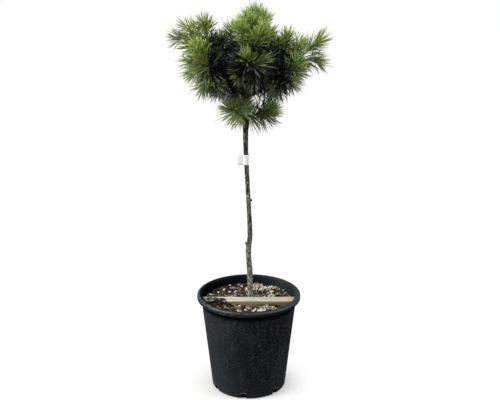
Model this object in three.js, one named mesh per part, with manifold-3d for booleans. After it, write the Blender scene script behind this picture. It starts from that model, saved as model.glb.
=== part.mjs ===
// A dwarf pine grafted on a tall bare stem, potted in a round black nursery pot.
// A wooden batten lies across the bark compost, and a blank tag is folded round the stem.
// Millimetres, +Z up. The origin is the centre of the pot's flat underside, the front looks along -Y.
import * as THREE from 'three';
import { mergeVertices } from 'three/addons/utils/BufferGeometryUtils.js';
import Module from 'manifold-3d';

const wasm = await Module();
wasm.setup();

// Clearance between neighbouring solids that touch on the real plant.
const GAP = 0.3;

// Pot
const POT_HEIGHT = 285.6;
const POT_FOOT_RADIUS = 108;
const POT_NECK_RADIUS = 138;
const POT_LIP_RADIUS = 150;
const POT_LIP_DEPTH = 13.5;
const POT_LIP_ROLL = 4.6;
const POT_WALL = 2.4;
const POT_FLOOR = 3;
const POT_CHAMFER = 4;
const POT_SEGMENTS = 42;
const SLOTS = 7;
const SLOT_TURN = 262.3;
const SLOT_WIDTH = 14;
const SLOT_HEIGHT = 20;
const LEDGE_HEIGHT = 3;
const LEDGE_REACH = 1.4;

// Compost
const SOIL_HEIGHT = 260;
const SOIL_RINGS = 7;
const SOIL_SWELL = 2.2;
const SOIL_SWELL_LENGTH = 16;
const HEAP_HEIGHT = 13;
const HEAP_RADIUS = 30;
const HEAP_PLACE = new THREE.Vector2(-84, -60);
const SEAT_RADIUS = 15;
const SEAT_SHOULDER = 36;

// Batten. Its left end is split: each split is a part of the width and a depth.
const BATTEN_FRONT = -40;
const BATTEN_BACK = -6;
const BATTEN_TOP = 275;
const BATTEN_THICKNESS = 18;
const BATTEN_CLEAR = 1.2;
const BATTEN_SPLITS = [[0.28, 7], [0.5, 1.6], [0.7, 6]];

// Stem: height above its foot, offset to the right, offset to the back, radius. The graft bulges at 523.
const TRUNK_FOOT = SOIL_HEIGHT + GAP;
const TRUNK_ROWS = [
  [0, 4, 6, 9.6],
  [25, 4, 6, 8.4],
  [90, 3, 6, 8.1],
  [152, -1, 6, 7.7],
  [205, 3.5, 5, 6.9],
  [330, -2.2, 3, 6.2],
  [446, -7.8, 1, 6.5],
  [500, -8.6, 0, 7.2],
  [523, -8, 0, 10],
  [558, -7, 0, 8.2],
  [652, -5, 2, 6.2],
  [725, 0, 8, 4.2],
];
const TRUNK_SIDES = 10;
const STUBS = [
  { height: 174, turn: 190, radius: 4.2, reach: 12 },
  { height: 303, turn: 350, radius: 3.4, reach: 10.5 },
];

// Tag folded round the stem, with its flag to the left
const TAG_HEIGHT = 668;
const TAG_WIDTH = 29;
const TAG_THICKNESS = 0.8;
const TAG_FLAG = 17;

// Boughs and the shoots at the end of each. Turns are counted from the right towards the back.
const BOUGH_ROOT_RADIUS = 4.6;
const BOUGH_TIP_RADIUS = 3.2;
const BOUGH_STEPS = 5;
const BOUGH_SIDES = 6;
const STEM_LENGTH = 10;
const SHOOT_STEPS = 6;
const SHOOT_LIFT = 0.2;
const SEED_STEP = 77;

function bough(name, height, turn, rise, bend, length, needle, seed, shoots) {
  return { name, height, turn, rise, bend, length, needle, seed, shoots };
}

// Each bough: height on the stem, turn, rise, rise gained along it, length, needle length, seed.
// Then the turn, rise and length of each shoot at its end.
const BOUGHS = [
  bough('left_high', 884, 181, 42, 8, 139, 50, 605,
    [[184, 8, 76], [167, 36, 64], [219, 80, 59], [19, 10, 42], [196, -8, 40]]),
  bough('left_front', 858, 217, 32, 10, 142, 48, 663,
    [[184, 53, 49], [191, 9, 42], [172, -32, 36], [232, -75, 54], [315, -62, 59]]),
  bough('front', 876, 273, 37, 8, 114, 54, 307,
    [[262, 22, 38], [308, -10, 30], [194, -63, 32], [350, -66, 38]]),
  bough('right_front', 857, 321, 24, 10, 134, 48, 231,
    [[335, 24, 40], [335, -45, 22], [232, -57, 38], [203, -18, 45]]),
  bough('right', 878, 1, 28, 8, 150, 50, 341, [[4, 27, 71], [1, -21, 47], [47, 39, 37]]),
  bough('right_high', 896, 341, 35, 8, 125, 42, 51, [[348, 76, 35], [343, 10, 36], [232, 28, 40]]),
  bough('top_front', 908, 288, 49, 10, 97, 46, 398, [[303, 41, 55], [208, 47, 59], [7, 28, 50]]),
  bough('back_left', 866, 138, 28, 8, 80, 50, 8,
    [[140, 40, 85], [113, 76, 91], [108, 6, 93], [174, 11, 82], [215, -72, 48]]),
  bough('back', 878, 92, 20, 10, 72, 52, 9,
    [[92, 34, 81], [152, 50, 75], [45, 53, 81], [61, 5, 84], [119, 3, 83]]),
  bough('back_right', 862, 46, 28, 8, 80, 50, 10,
    [[42, 36, 79], [38, 76, 78], [5, 17, 88], [70, 10, 88], [330, -72, 46]]),
  bough('top_back', 908, 108, 54, 10, 54, 46, 11,
    [[86, 66, 72], [166, 60, 76], [45, 45, 73], [190, 8, 45]]),
  bough('low_left', 808, 232, 14, 6, 32, 48, 12, [[240, 10, 24], [300, 30, 22]]),
  bough('low_right', 802, 346, 14, 4, 26, 50, 13, [[332, 4, 26], [20, 6, 26]]),
  bough('low_back', 810, 100, 12, 6, 22, 46, 14, [[96, 6, 41], [145, 10, 36]]),
];
const LEADER = {
  name: 'top', needle: 43, seed: 442,
  shoots: [[255, 66, 78], [330, 69, 92], [357, 51, 80], [280, 46, 81]],
};

// Brush of needles on a shoot: needles stand off near its foot and point forward at its bud.
const NEEDLES_FROM = 0.22;
const NEEDLES_TO = 0.97;
const BRUSH_BANDS = 5;
const BRUSH_SIDES = 6;
const TWIG_RADIUS = 2.4;
const BRUSH_RADIUS = 4.2;
const FOOT_ANGLE = 80;
const BUD_ANGLE = 24;
const DROOP = 0.42;
const NEEDLE_CUTS = [1, 0.86, 0.72, 0.58, 0.45, 0.33];
const NEEDLE_PROBES = [0.25, 0.45, 0.65, 0.85, 1];
const SPACE = 0.7;
const SPACE_STEPS = 4;

const BRIGHT_ABOVE = 1030;
const GREEN_ABOVE = 900;
const COLOURS = {
  pot: 0x23262b,
  soil: 0x3a2b20,
  batten: 0xa08a68,
  tag: 0xf0efea,
  trunk: 0x6d5d50,
  bough: 0x5d4634,
  bright: 0x87a03f,
  green: 0x5a7a35,
  dark: 0x35502c,
};

const UP = new THREE.Vector3(0, 0, 1);
const radians = THREE.MathUtils.degToRad;

// A repeatable stream of numbers from 0 to 1.
function seeded(seed) {
  let state = seed >>> 0;
  const draw = () => {
    state = (Math.imul(state, 1664525) + 1013904223) >>> 0;
    return state / 4294967296;
  };
  for (let i = 0; i < 3; i++) draw();
  return draw;
}

// Unit direction from a turn about +Z and a rise above the level, in degrees.
function heading(turn, rise) {
  const level = Math.cos(radians(rise));
  return new THREE.Vector3(
    level * Math.cos(radians(turn)),
    level * Math.sin(radians(turn)),
    Math.sin(radians(rise)),
  );
}

// Boolean solid of a closed geometry, with its faces turned outwards.
function solidOf(geometry) {
  const bare = geometry.clone();
  bare.deleteAttribute('normal');
  bare.deleteAttribute('uv');
  const merged = mergeVertices(bare, 1e-4);
  const position = merged.attributes.position;
  const index = merged.index.array;
  const corners = [];
  let volume = 0;
  const [a, b, c] = [new THREE.Vector3(), new THREE.Vector3(), new THREE.Vector3()];
  for (let i = 0; i < index.length; i += 3) {
    const [p, q, r] = [index[i], index[i + 1], index[i + 2]];
    if (p === q || q === r || r === p) continue;
    corners.push(p, q, r);
    a.fromBufferAttribute(position, p);
    b.fromBufferAttribute(position, q);
    c.fromBufferAttribute(position, r);
    volume += a.dot(b.cross(c));
  }
  if (volume < 0) corners.reverse();
  return new wasm.Manifold(new wasm.Mesh({
    numProp: 3,
    vertProperties: new Float32Array(position.array),
    triVerts: new Uint32Array(corners),
  }));
}

// Drawable geometry of a boolean solid.
function geometryOf(solid) {
  const mesh = solid.getMesh();
  const geometry = new THREE.BufferGeometry();
  geometry.setAttribute('position', new THREE.BufferAttribute(mesh.vertProperties, 3));
  geometry.setIndex(new THREE.BufferAttribute(mesh.triVerts, 1));
  geometry.computeVertexNormals();
  return geometry;
}

function named(name, geometry, colour, roughness = 0.8) {
  const material = new THREE.MeshStandardMaterial({ color: colour, roughness, metalness: 0 });
  const mesh = new THREE.Mesh(geometry, material);
  mesh.name = name;
  return mesh;
}

function indexed(points, corners) {
  const geometry = new THREE.BufferGeometry();
  geometry.setAttribute('position', new THREE.Float32BufferAttribute(points.flatMap((p) => p.toArray()), 3));
  geometry.setIndex(corners);
  return geometry;
}

// Rings of points round a path, each turned half a side from the last so that they join in triangles.
function ringsAlong(centres, radii, sides, level = false) {
  let across = null;
  return centres.map((centre, k) => {
    const before = centres[Math.max(k - 1, 0)];
    const after = centres[Math.min(k + 1, centres.length - 1)];
    const along = level ? UP : after.clone().sub(before).normalize();
    across ??= Math.abs(along.z) > 0.9 ? new THREE.Vector3(1, 0, 0) : UP.clone();
    across = across.clone().addScaledVector(along, -across.dot(along)).normalize();
    const other = along.clone().cross(across);
    return Array.from({ length: sides }, (_, i) => {
      const angle = (2 * Math.PI * (i + k / 2)) / sides;
      return centre.clone()
        .addScaledVector(across, radii[k] * Math.cos(angle))
        .addScaledVector(other, radii[k] * Math.sin(angle));
    });
  });
}

// The two triangles of each side between ring k and the next.
function bandCorners(k, sides) {
  const corners = [];
  for (let i = 0; i < sides; i++) {
    const next = (i + 1) % sides;
    const [a, b] = [k * sides + i, k * sides + next];
    const [c, d] = [a + sides, b + sides];
    corners.push([a, b, c], [b, d, c]);
  }
  return corners;
}

// Closed tapering limb with flat ends.
function limbGeometry(centres, radii, sides, level = false) {
  const rings = ringsAlong(centres, radii, sides, level);
  const last = rings.length - 1;
  const points = [...rings.flat(), centres[0], centres[last]];
  const corners = [];
  for (let k = 0; k < last; k++) corners.push(...bandCorners(k, sides));
  for (let i = 0; i < sides; i++) {
    const next = (i + 1) % sides;
    corners.push([points.length - 2, next, i]);
    corners.push([points.length - 1, last * sides + i, last * sides + next]);
  }
  return indexed(points, corners.flat());
}

// Pot
function potRadius(height) {
  return POT_FOOT_RADIUS + (POT_NECK_RADIUS - POT_FOOT_RADIUS) * (height / (POT_HEIGHT - POT_LIP_DEPTH));
}

function turned(profile) {
  const points = profile.map(([radius, height]) => new THREE.Vector2(radius, height));
  return new THREE.LatheGeometry(points, POT_SEGMENTS).rotateX(Math.PI / 2);
}

function potSolid() {
  const neck = POT_HEIGHT - POT_LIP_DEPTH;
  const lip = [];
  for (let step = 0; step <= 4; step++) {
    const angle = (Math.PI / 2) * (step / 4);
    lip.push([
      POT_LIP_RADIUS - POT_LIP_ROLL * (1 - Math.cos(angle)),
      POT_HEIGHT - POT_LIP_ROLL * (1 - Math.sin(angle)),
    ]);
  }
  const inner = potRadius(neck) - POT_WALL;
  const shell = solidOf(turned([
    [0, 0],
    [POT_FOOT_RADIUS - POT_CHAMFER, 0],
    [potRadius(POT_CHAMFER), POT_CHAMFER],
    [potRadius(neck), neck],
    [POT_LIP_RADIUS - 1.5, neck],
    [POT_LIP_RADIUS, neck + 1.5],
    ...lip,
    [inner + 3, POT_HEIGHT],
    [inner, POT_HEIGHT - 4],
    [inner, neck],
    [potRadius(POT_FLOOR) - POT_WALL, POT_FLOOR],
    [0, POT_FLOOR],
  ]));
  return cutSlots(shell);
}

// Drainage slots with arched tops round the foot, and the small ledge over each.
function cutSlots(shell) {
  const outline = new THREE.Shape();
  const half = SLOT_WIDTH / 2;
  const shoulder = SLOT_HEIGHT - half / 2;
  outline.moveTo(-half, -1);
  outline.lineTo(half, -1);
  outline.lineTo(half, shoulder);
  outline.lineTo(half * 0.6, SLOT_HEIGHT);
  outline.lineTo(-half * 0.6, SLOT_HEIGHT);
  outline.lineTo(-half, shoulder);
  const depth = POT_WALL * 6;
  const cutter = new THREE.ExtrudeGeometry(outline, { depth, bevelEnabled: false });
  cutter.rotateX(Math.PI / 2).translate(0, -POT_FOOT_RADIUS + depth / 2, 0);
  const ledge = new THREE.BoxGeometry(SLOT_WIDTH + 3, LEDGE_REACH + POT_WALL / 2, LEDGE_HEIGHT);
  const ledgeHeight = SLOT_HEIGHT + LEDGE_HEIGHT / 2;
  ledge.translate(0, -potRadius(ledgeHeight) + POT_WALL / 4 - LEDGE_REACH / 2, ledgeHeight);
  let pot = shell;
  for (let i = 0; i < SLOTS; i++) {
    const turn = radians(SLOT_TURN + 90 + (360 * i) / SLOTS);
    pot = pot.add(solidOf(ledge.clone().rotateZ(turn)));
    pot = pot.subtract(solidOf(cutter.clone().rotateZ(turn)));
  }
  return pot;
}

// Plan of the batten, grown by a margin. Its ends follow the round of the wall, and the left one is split.
function battenShape(grow, splits) {
  const wall = potRadius(BATTEN_TOP - BATTEN_THICKNESS) - POT_WALL - BATTEN_CLEAR + grow;
  const reach = (y) => Math.sqrt(wall * wall - y * y);
  const outline = new THREE.Shape();
  outline.moveTo(-reach(BATTEN_FRONT), BATTEN_FRONT - grow);
  outline.lineTo(reach(BATTEN_FRONT), BATTEN_FRONT - grow);
  outline.lineTo(reach(BATTEN_BACK), BATTEN_BACK + grow);
  outline.lineTo(-reach(BATTEN_BACK), BATTEN_BACK + grow);
  for (const [part, depth] of splits.toReversed()) {
    const y = THREE.MathUtils.lerp(BATTEN_FRONT, BATTEN_BACK, part);
    outline.lineTo(depth - reach(y), y);
  }
  return outline;
}

function battenGeometry() {
  const outline = battenShape(0, BATTEN_SPLITS);
  const geometry = new THREE.ExtrudeGeometry(outline, { depth: BATTEN_THICKNESS, bevelEnabled: false });
  return geometry.translate(0, 0, BATTEN_TOP - BATTEN_THICKNESS);
}

// Bed that the batten lies in, open upwards.
function bedGeometry() {
  const outline = battenShape(GAP, []);
  const geometry = new THREE.ExtrudeGeometry(outline, { depth: 2 * BATTEN_THICKNESS, bevelEnabled: false });
  return geometry.translate(0, 0, BATTEN_TOP - BATTEN_THICKNESS - GAP);
}

// Compost that fills the pot: uneven on top, heaped before the batten, level where the stem stands.
function soilSolid() {
  const facet = Math.cos(Math.PI / POT_SEGMENTS);
  const clear = (POT_WALL + GAP) / facet;
  const edge = potRadius(SOIL_HEIGHT) - clear;
  const foot = POT_FLOOR + GAP;
  const profile = [[0, foot], [potRadius(foot) - clear, foot]];
  for (let ring = SOIL_RINGS; ring >= 0; ring--) profile.push([(edge * ring) / SOIL_RINGS, SOIL_HEIGHT]);
  const geometry = turned(profile);
  const position = geometry.attributes.position;
  const foothold = new THREE.Vector2(TRUNK_ROWS[0][1], TRUNK_ROWS[0][2]);
  for (let i = 0; i < position.count; i++) {
    const place = new THREE.Vector2(position.getX(i), position.getY(i));
    const onTop = position.getZ(i) > SOIL_HEIGHT - 1;
    const atWall = place.length() > edge - 1;
    if (!onTop || atWall) continue;
    const away = THREE.MathUtils.smoothstep(place.distanceTo(foothold), SEAT_RADIUS, SEAT_SHOULDER);
    const heap = HEAP_HEIGHT * Math.exp(-((place.distanceTo(HEAP_PLACE) / HEAP_RADIUS) ** 2));
    const wave = Math.sin(place.x / SOIL_SWELL_LENGTH + 1) * Math.cos(place.y / SOIL_SWELL_LENGTH);
    position.setZ(i, SOIL_HEIGHT + away * (heap + SOIL_SWELL * wave));
  }
  const seat = new THREE.CylinderGeometry(SEAT_RADIUS, SEAT_RADIUS, HEAP_HEIGHT, 24).rotateX(Math.PI / 2);
  seat.translate(foothold.x, foothold.y, SOIL_HEIGHT + HEAP_HEIGHT / 2);
  return solidOf(geometry).subtract(solidOf(seat)).subtract(solidOf(bedGeometry()));
}

// Stem
function trunkRings() {
  const spine = new THREE.CatmullRomCurve3(
    TRUNK_ROWS.map(([height, x, y]) => new THREE.Vector3(x, y, TRUNK_FOOT + height)),
    false,
    'catmullrom',
    0.5,
  );
  const steps = (TRUNK_ROWS.length - 1) * 2;
  return Array.from({ length: steps + 1 }, (_, i) => {
    const row = Math.min(Math.floor(i / 2), TRUNK_ROWS.length - 2);
    const part = i / 2 - row;
    const radius = THREE.MathUtils.lerp(TRUNK_ROWS[row][3], TRUNK_ROWS[row + 1][3], part);
    return { centre: spine.getPoint(i / steps), radius };
  });
}

const TRUNK = trunkRings();

function trunkAt(height) {
  const above = TRUNK.findIndex((ring) => ring.centre.z >= height);
  const [low, high] = [TRUNK[above - 1], TRUNK[above]];
  const part = (height - low.centre.z) / (high.centre.z - low.centre.z);
  return {
    centre: low.centre.clone().lerp(high.centre, part),
    radius: THREE.MathUtils.lerp(low.radius, high.radius, part),
  };
}

function trunkSolid(grow = 0) {
  const centres = TRUNK.map((ring) => ring.centre);
  const radii = TRUNK.map((ring) => ring.radius + grow);
  let solid = solidOf(limbGeometry(centres, radii, TRUNK_SIDES, true));
  for (const stub of STUBS) {
    const { centre } = trunkAt(TRUNK_FOOT + stub.height);
    const end = centre.clone().addScaledVector(heading(stub.turn, 12), stub.reach + grow);
    const radius = stub.radius + grow;
    solid = solid.add(solidOf(limbGeometry([centre, end], [radius, radius * 0.8], 8)));
  }
  return solid;
}

// Tag: a sleeve round the stem whose two ends lie together as a flag.
function tagGeometry() {
  const middle = trunkAt(TAG_HEIGHT + TAG_WIDTH / 2);
  const foot = trunkAt(TAG_HEIGHT);
  const sway = Math.abs(foot.centre.x - middle.centre.x);
  const inner = middle.radius + sway + GAP;
  const outer = inner + TAG_THICKNESS;
  const half = TAG_THICKNESS;
  const start = Math.PI + Math.asin(half / outer);
  const outline = new THREE.Shape();
  outline.absarc(0, 0, outer, start, start + 2 * Math.PI - 2 * Math.asin(half / outer), false);
  outline.lineTo(-outer - TAG_FLAG, half);
  outline.lineTo(-outer - TAG_FLAG, -half);
  const hole = new THREE.Path();
  hole.absarc(0, 0, inner, 0, 2 * Math.PI, true);
  outline.holes.push(hole);
  const geometry = new THREE.ExtrudeGeometry(outline, {
    depth: TAG_WIDTH, bevelEnabled: false, curveSegments: 9,
  });
  return geometry.translate(middle.centre.x, middle.centre.y, TAG_HEIGHT);
}

// Path of a bough from the middle of the stem to its tip.
function boughPath({ height, turn, rise, bend, length }) {
  const path = [trunkAt(height).centre];
  for (let k = 0; k < BOUGH_STEPS; k++) {
    const along = heading(turn, rise + (bend * (k + 0.5)) / BOUGH_STEPS);
    path.push(path[k].clone().addScaledVector(along, length / BOUGH_STEPS));
  }
  return path;
}

// Path of a shoot that turns up towards the light.
function shootPath(start, [turn, rise, length]) {
  const path = [start];
  for (let k = 0; k < SHOOT_STEPS; k++) {
    const lift = (2 * SHOOT_LIFT * (k + 0.5)) / SHOOT_STEPS;
    const along = heading(turn, rise).addScaledVector(UP, lift).normalize();
    path.push(path[k].clone().addScaledVector(along, length / SHOOT_STEPS));
  }
  return path;
}

// A mass starts clear of the limb that carries it, with a short stem that its shoots leave.
function massPlan({ name, needle, seed, shoots }, tip, along) {
  const foot = tip.clone().addScaledVector(along, GAP);
  const fork = foot.clone().addScaledVector(along, STEM_LENGTH);
  return { name, foot, fork, paths: shoots.map((shoot) => shootPath(fork, shoot)), needle, seed };
}

const PATHS = BOUGHS.map(boughPath);
const PLANS = BOUGHS.map((limb, i) => {
  const path = PATHS[i];
  const along = path[BOUGH_STEPS].clone().sub(path[BOUGH_STEPS - 1]).normalize();
  return massPlan(limb, path[BOUGH_STEPS], along);
});
PLANS.push(massPlan(LEADER, TRUNK[TRUNK.length - 1].centre, UP));

// Point at a part of a path, 0 at its foot and 1 at its end.
function along(path, part) {
  const place = Math.min(part, 0.9999) * (path.length - 1);
  const k = Math.floor(place);
  return path[k].clone().lerp(path[k + 1], place - k);
}

function segmentsOf(path, radius) {
  return path.slice(1).map((end, k) => ({ start: path[k], end, radius }));
}

function distanceTo(point, { start, end }) {
  const span = end.clone().sub(start);
  const part = THREE.MathUtils.clamp(point.clone().sub(start).dot(span) / span.lengthSq(), 0, 1);
  return point.distanceTo(start.clone().addScaledVector(span, part));
}

// Limbs that no needle may touch, each with the mass that it belongs to.
const LIMBS = [
  ...TRUNK.slice(1).map((ring, k) => (
    { start: TRUNK[k].centre, end: ring.centre, radius: Math.max(ring.radius, TRUNK[k].radius), mass: null }
  )),
  ...PATHS.flatMap((path) => segmentsOf(path, BOUGH_ROOT_RADIUS)).map((limb) => ({ ...limb, mass: null })),
  ...PLANS.flatMap((plan) => (
    segmentsOf([plan.foot, plan.fork], BOUGH_TIP_RADIUS).map((limb) => ({ ...limb, mass: plan }))
  )),
];

// The needled stretch of each shoot, which its needles keep nearest to.
const SHOOTS = PLANS.flatMap((plan) => plan.paths.map((path) => {
  const stretch = Array.from({ length: SPACE_STEPS + 1 }, (_, i) => (
    along(path, THREE.MathUtils.lerp(NEEDLES_FROM / 2, 1, i / SPACE_STEPS))
  ));
  return { plan, path, segments: segmentsOf(stretch, 0) };
}));

function distanceToShoot(point, shoot) {
  return Math.min(...shoot.segments.map((segment) => distanceTo(point, segment)));
}

// Whether a point lies in the space of its own shoot, clear of every limb.
function inOwnSpace(point, shoot, near) {
  for (const limb of near.limbs) {
    if (distanceTo(point, limb) < limb.radius + SPACE) return false;
  }
  const own = distanceToShoot(point, shoot);
  return near.shoots.every((other) => {
    const margin = other.plan === shoot.plan ? 0 : 2 * SPACE;
    return distanceToShoot(point, other) > own + margin;
  });
}

// The needle on a face of the brush, drawn out to the longest tip that keeps to the shoot's space.
function needleTip(face, direction, length, shoot, near) {
  const root = face[0].clone().add(face[1]).add(face[2]).divideScalar(3);
  for (const cut of NEEDLE_CUTS) {
    const tip = root.clone().addScaledVector(direction, length * cut);
    const fits = face.every((corner) => NEEDLE_PROBES.every((part) => (
      inOwnSpace(corner.clone().lerp(tip, part), shoot, near)
    )));
    if (fits) return tip;
  }
  return null;
}

// One shoot: a slim core whose faces past its bare foot are drawn out into needles.
function shootSolid(shoot, draw) {
  const { path, plan } = shoot;
  const middle = along(path, 0.6);
  const reach = plan.needle * 1.3 + path[0].distanceTo(path[path.length - 1]);
  const near = {
    limbs: LIMBS.filter((limb) => limb.mass !== plan && distanceTo(middle, limb) < reach),
    shoots: SHOOTS.filter((other) => other !== shoot && distanceToShoot(middle, other) < reach * 1.5),
  };
  const parts = [0, NEEDLES_FROM];
  const radii = [TWIG_RADIUS, TWIG_RADIUS];
  for (let band = 1; band <= BRUSH_BANDS; band++) {
    parts.push(THREE.MathUtils.lerp(NEEDLES_FROM, NEEDLES_TO, band / BRUSH_BANDS));
    radii.push(band === BRUSH_BANDS ? TWIG_RADIUS * 0.8 : BRUSH_RADIUS);
  }
  const centres = parts.map((part) => along(path, part));
  const points = ringsAlong(centres, radii, BRUSH_SIDES).flat();
  const last = parts.length - 1;
  points.push(centres[0], path[path.length - 1]);
  const corners = bandCorners(0, BRUSH_SIDES);
  for (let i = 0; i < BRUSH_SIDES; i++) corners.push([points.length - 2, (i + 1) % BRUSH_SIDES, i]);
  const faces = [];
  for (let band = 1; band < last; band++) {
    bandCorners(band, BRUSH_SIDES).forEach((face) => faces.push({ face, part: (band - 0.5) / BRUSH_BANDS }));
  }
  for (let i = 0; i < BRUSH_SIDES; i++) {
    const rim = last * BRUSH_SIDES;
    faces.push({ face: [rim + i, rim + ((i + 1) % BRUSH_SIDES), points.length - 1], part: 1 });
  }
  for (const { face, part } of faces) {
    const vertices = face.map((corner) => points[corner]);
    const root = vertices[0].clone().add(vertices[1]).add(vertices[2]).divideScalar(3);
    const place = THREE.MathUtils.lerp(NEEDLES_FROM, NEEDLES_TO, part);
    const axis = along(path, place);
    const forward = along(path, place).sub(along(path, place - 0.1)).normalize();
    const outward = root.clone().sub(axis);
    outward.addScaledVector(forward, -outward.dot(forward)).normalize();
    const angle = radians(THREE.MathUtils.lerp(FOOT_ANGLE, BUD_ANGLE, part));
    const direction = forward.multiplyScalar(Math.cos(angle))
      .addScaledVector(outward, Math.sin(angle))
      .addScaledVector(UP, -DROOP * (1 - part))
      .normalize();
    const length = plan.needle * (0.88 + 0.24 * draw());
    const tip = needleTip(vertices, direction, length, shoot, near);
    if (tip === null) {
      corners.push(face);
      continue;
    }
    const [a, b, c] = face;
    const d = points.push(tip) - 1;
    corners.push([a, b, d], [b, c, d], [c, a, d]);
  }
  return solidOf(indexed(points, corners.flat()));
}

// Mass of needles: the stem and its shoots in one solid.
function massSolid(plan) {
  const draw = seeded(plan.seed * SEED_STEP + 1);
  const end = plan.fork.clone().lerp(plan.foot, -0.15);
  const radii = [BOUGH_TIP_RADIUS, BOUGH_TIP_RADIUS * 0.9];
  let mass = solidOf(limbGeometry([plan.foot, end], radii, BOUGH_SIDES));
  for (const shoot of SHOOTS.filter((other) => other.plan === plan)) mass = mass.add(shootSolid(shoot, draw));
  return mass;
}

function boughSolid(path, trunk) {
  const thins = (BOUGH_ROOT_RADIUS - BOUGH_TIP_RADIUS) / BOUGH_STEPS;
  const radii = path.map((_, k) => BOUGH_ROOT_RADIUS - thins * k);
  return solidOf(limbGeometry(path, radii, BOUGH_SIDES)).subtract(trunk);
}

// Needles are brightest high up, where the light falls.
function needleColour(plan) {
  const height = Math.max(...plan.paths.map((path) => path[path.length - 1].z));
  if (height > BRIGHT_ABOVE) return COLOURS.bright;
  return height > GREEN_ABOVE ? COLOURS.green : COLOURS.dark;
}

const model = new THREE.Group();
model.add(named('pot', geometryOf(potSolid()), COLOURS.pot, 0.45));
model.add(named('soil', geometryOf(soilSolid()), COLOURS.soil, 0.95));
model.add(named('batten', geometryOf(solidOf(battenGeometry())), COLOURS.batten, 0.85));
model.add(named('tag', geometryOf(solidOf(tagGeometry())), COLOURS.tag, 0.5));
model.add(named('trunk', geometryOf(trunkSolid()), COLOURS.trunk, 0.9));
const stemSpace = trunkSolid(GAP);
BOUGHS.forEach(({ name }, i) => {
  model.add(named(`bough_${name}`, geometryOf(boughSolid(PATHS[i], stemSpace)), COLOURS.bough, 0.9));
});
for (const plan of PLANS) {
  model.add(named(`needles_${plan.name}`, geometryOf(massSolid(plan)), needleColour(plan), 0.7));
}

export default model;
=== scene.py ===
"""Looks of a dwarf pine grafted on a tall bare stem, potted in a round black nursery pot.

Lengths are in millimetres until a mesh is made, as in the part's source, and Blender's metres from there on.
"""
import math

import bmesh
import bpy
import numpy as np
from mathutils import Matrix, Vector, noise


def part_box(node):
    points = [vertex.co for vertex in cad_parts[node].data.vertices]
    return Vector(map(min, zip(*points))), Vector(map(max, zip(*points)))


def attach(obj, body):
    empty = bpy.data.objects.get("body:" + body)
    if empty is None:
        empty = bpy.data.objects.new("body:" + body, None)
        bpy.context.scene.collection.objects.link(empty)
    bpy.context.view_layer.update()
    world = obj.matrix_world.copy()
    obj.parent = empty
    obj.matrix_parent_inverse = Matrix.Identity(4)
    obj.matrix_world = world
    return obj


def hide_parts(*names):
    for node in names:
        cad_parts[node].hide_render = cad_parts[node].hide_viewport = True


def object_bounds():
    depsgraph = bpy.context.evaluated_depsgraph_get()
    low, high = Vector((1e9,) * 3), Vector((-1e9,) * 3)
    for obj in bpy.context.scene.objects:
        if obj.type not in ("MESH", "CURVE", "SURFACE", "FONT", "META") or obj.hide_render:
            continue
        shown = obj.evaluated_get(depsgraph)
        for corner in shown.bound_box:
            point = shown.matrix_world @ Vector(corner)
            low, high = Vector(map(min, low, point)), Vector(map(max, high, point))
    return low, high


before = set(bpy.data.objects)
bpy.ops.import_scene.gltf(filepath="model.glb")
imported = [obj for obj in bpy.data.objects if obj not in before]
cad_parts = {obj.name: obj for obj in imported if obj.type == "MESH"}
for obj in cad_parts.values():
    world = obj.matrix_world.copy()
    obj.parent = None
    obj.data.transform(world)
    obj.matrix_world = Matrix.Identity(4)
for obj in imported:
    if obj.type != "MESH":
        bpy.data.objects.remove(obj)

cad_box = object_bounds()

MM = 0.001
UP = np.array((0.0, 0.0, 1.0))
GOLDEN_TURN = math.radians(137.508)

# Camera and light, in metres
CAMERA_PLACE = (0.0036, -2.230, 1.214)
CAMERA_TILT = 73.8
CAMERA_LENS = 59.35
BACKGROUND_SEEN = 1.0
BACKGROUND_LIGHT = 0.34
KEY_PLACE = (-2.15, -0.85, 1.9)
KEY_SIZE = 1.3
KEY_POWER = 74
TOP_PLACE = (0.1, 0.1, 3.0)
TOP_SIZE = 1.6
TOP_POWER = 36
RIGHT_PLACE = (2.3, -0.5, 1.3)
RIGHT_SIZE = 1.2
RIGHT_POWER = 36
LIT_POINT = (0.0, 0.0, 0.7)
FLOOR_REACH = 0.2
FLOOR_FADE = 0.06

# Pot
POT_HEIGHT = 285.6
POT_FOOT_RADIUS = 108
POT_NECK_RADIUS = 138
POT_LIP_RADIUS = 150
POT_LIP_DEPTH = 13.5
POT_NECK = POT_HEIGHT - POT_LIP_DEPTH
POT_LIP_ROLL = 4.6
POT_WALL = 2.4
LIP_GROOVE = 1.5
POT_FLOOR = 3
POT_CHAMFER = 4
POT_SIDES = 168
SLOTS = 7
SLOT_TURN = 262.3
SLOT_WIDTH = 14
SLOT_HEIGHT = 20
SLOT_ARCH = 0.62
SLOT_BEAD = 1.3

# Compost
SOIL_HEIGHT = 260
SOIL_SWELL = 2.2
SOIL_SWELL_LENGTH = 16
HEAP_HEIGHT = 13
HEAP_RADIUS = 30
HEAP_PLACE = (-84, -60)
SEAT_RADIUS = 15
SEAT_SHOULDER = 36
SOIL_RELIEF = 1.7
SOIL_CLEAR = 0.4
SOIL_SIDES = 150
CHIPS = 1700
SPILLED_CHIPS = 45
GRAINS = 380
SOIL_EDGE = 132
SPOT_SHARE = 0.84
DRY_NEEDLES = 300

# Where grains gather: their middle and their spread, to the right and to the back
GRAIN_SPOTS = (
    (34, 100, 20, 9), (50, 88, 20, 12), (24, 84, 16, 12), (66, 40, 14, 20),
    (32, -94, 14, 8), (46, -80, 18, 10), (64, -66, 16, 10), (-46, 66, 36, 26),
)

# Batten
BATTEN_FRONT = -40
BATTEN_BACK = -6
BATTEN_TOP = 275
BATTEN_THICKNESS = 18
BATTEN_CLEAR = 1.2
BATTEN_ROUND = 1.1
BATTEN_SPLITS = ((0.28, 7), (0.5, 1.6), (0.7, 6))

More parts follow.
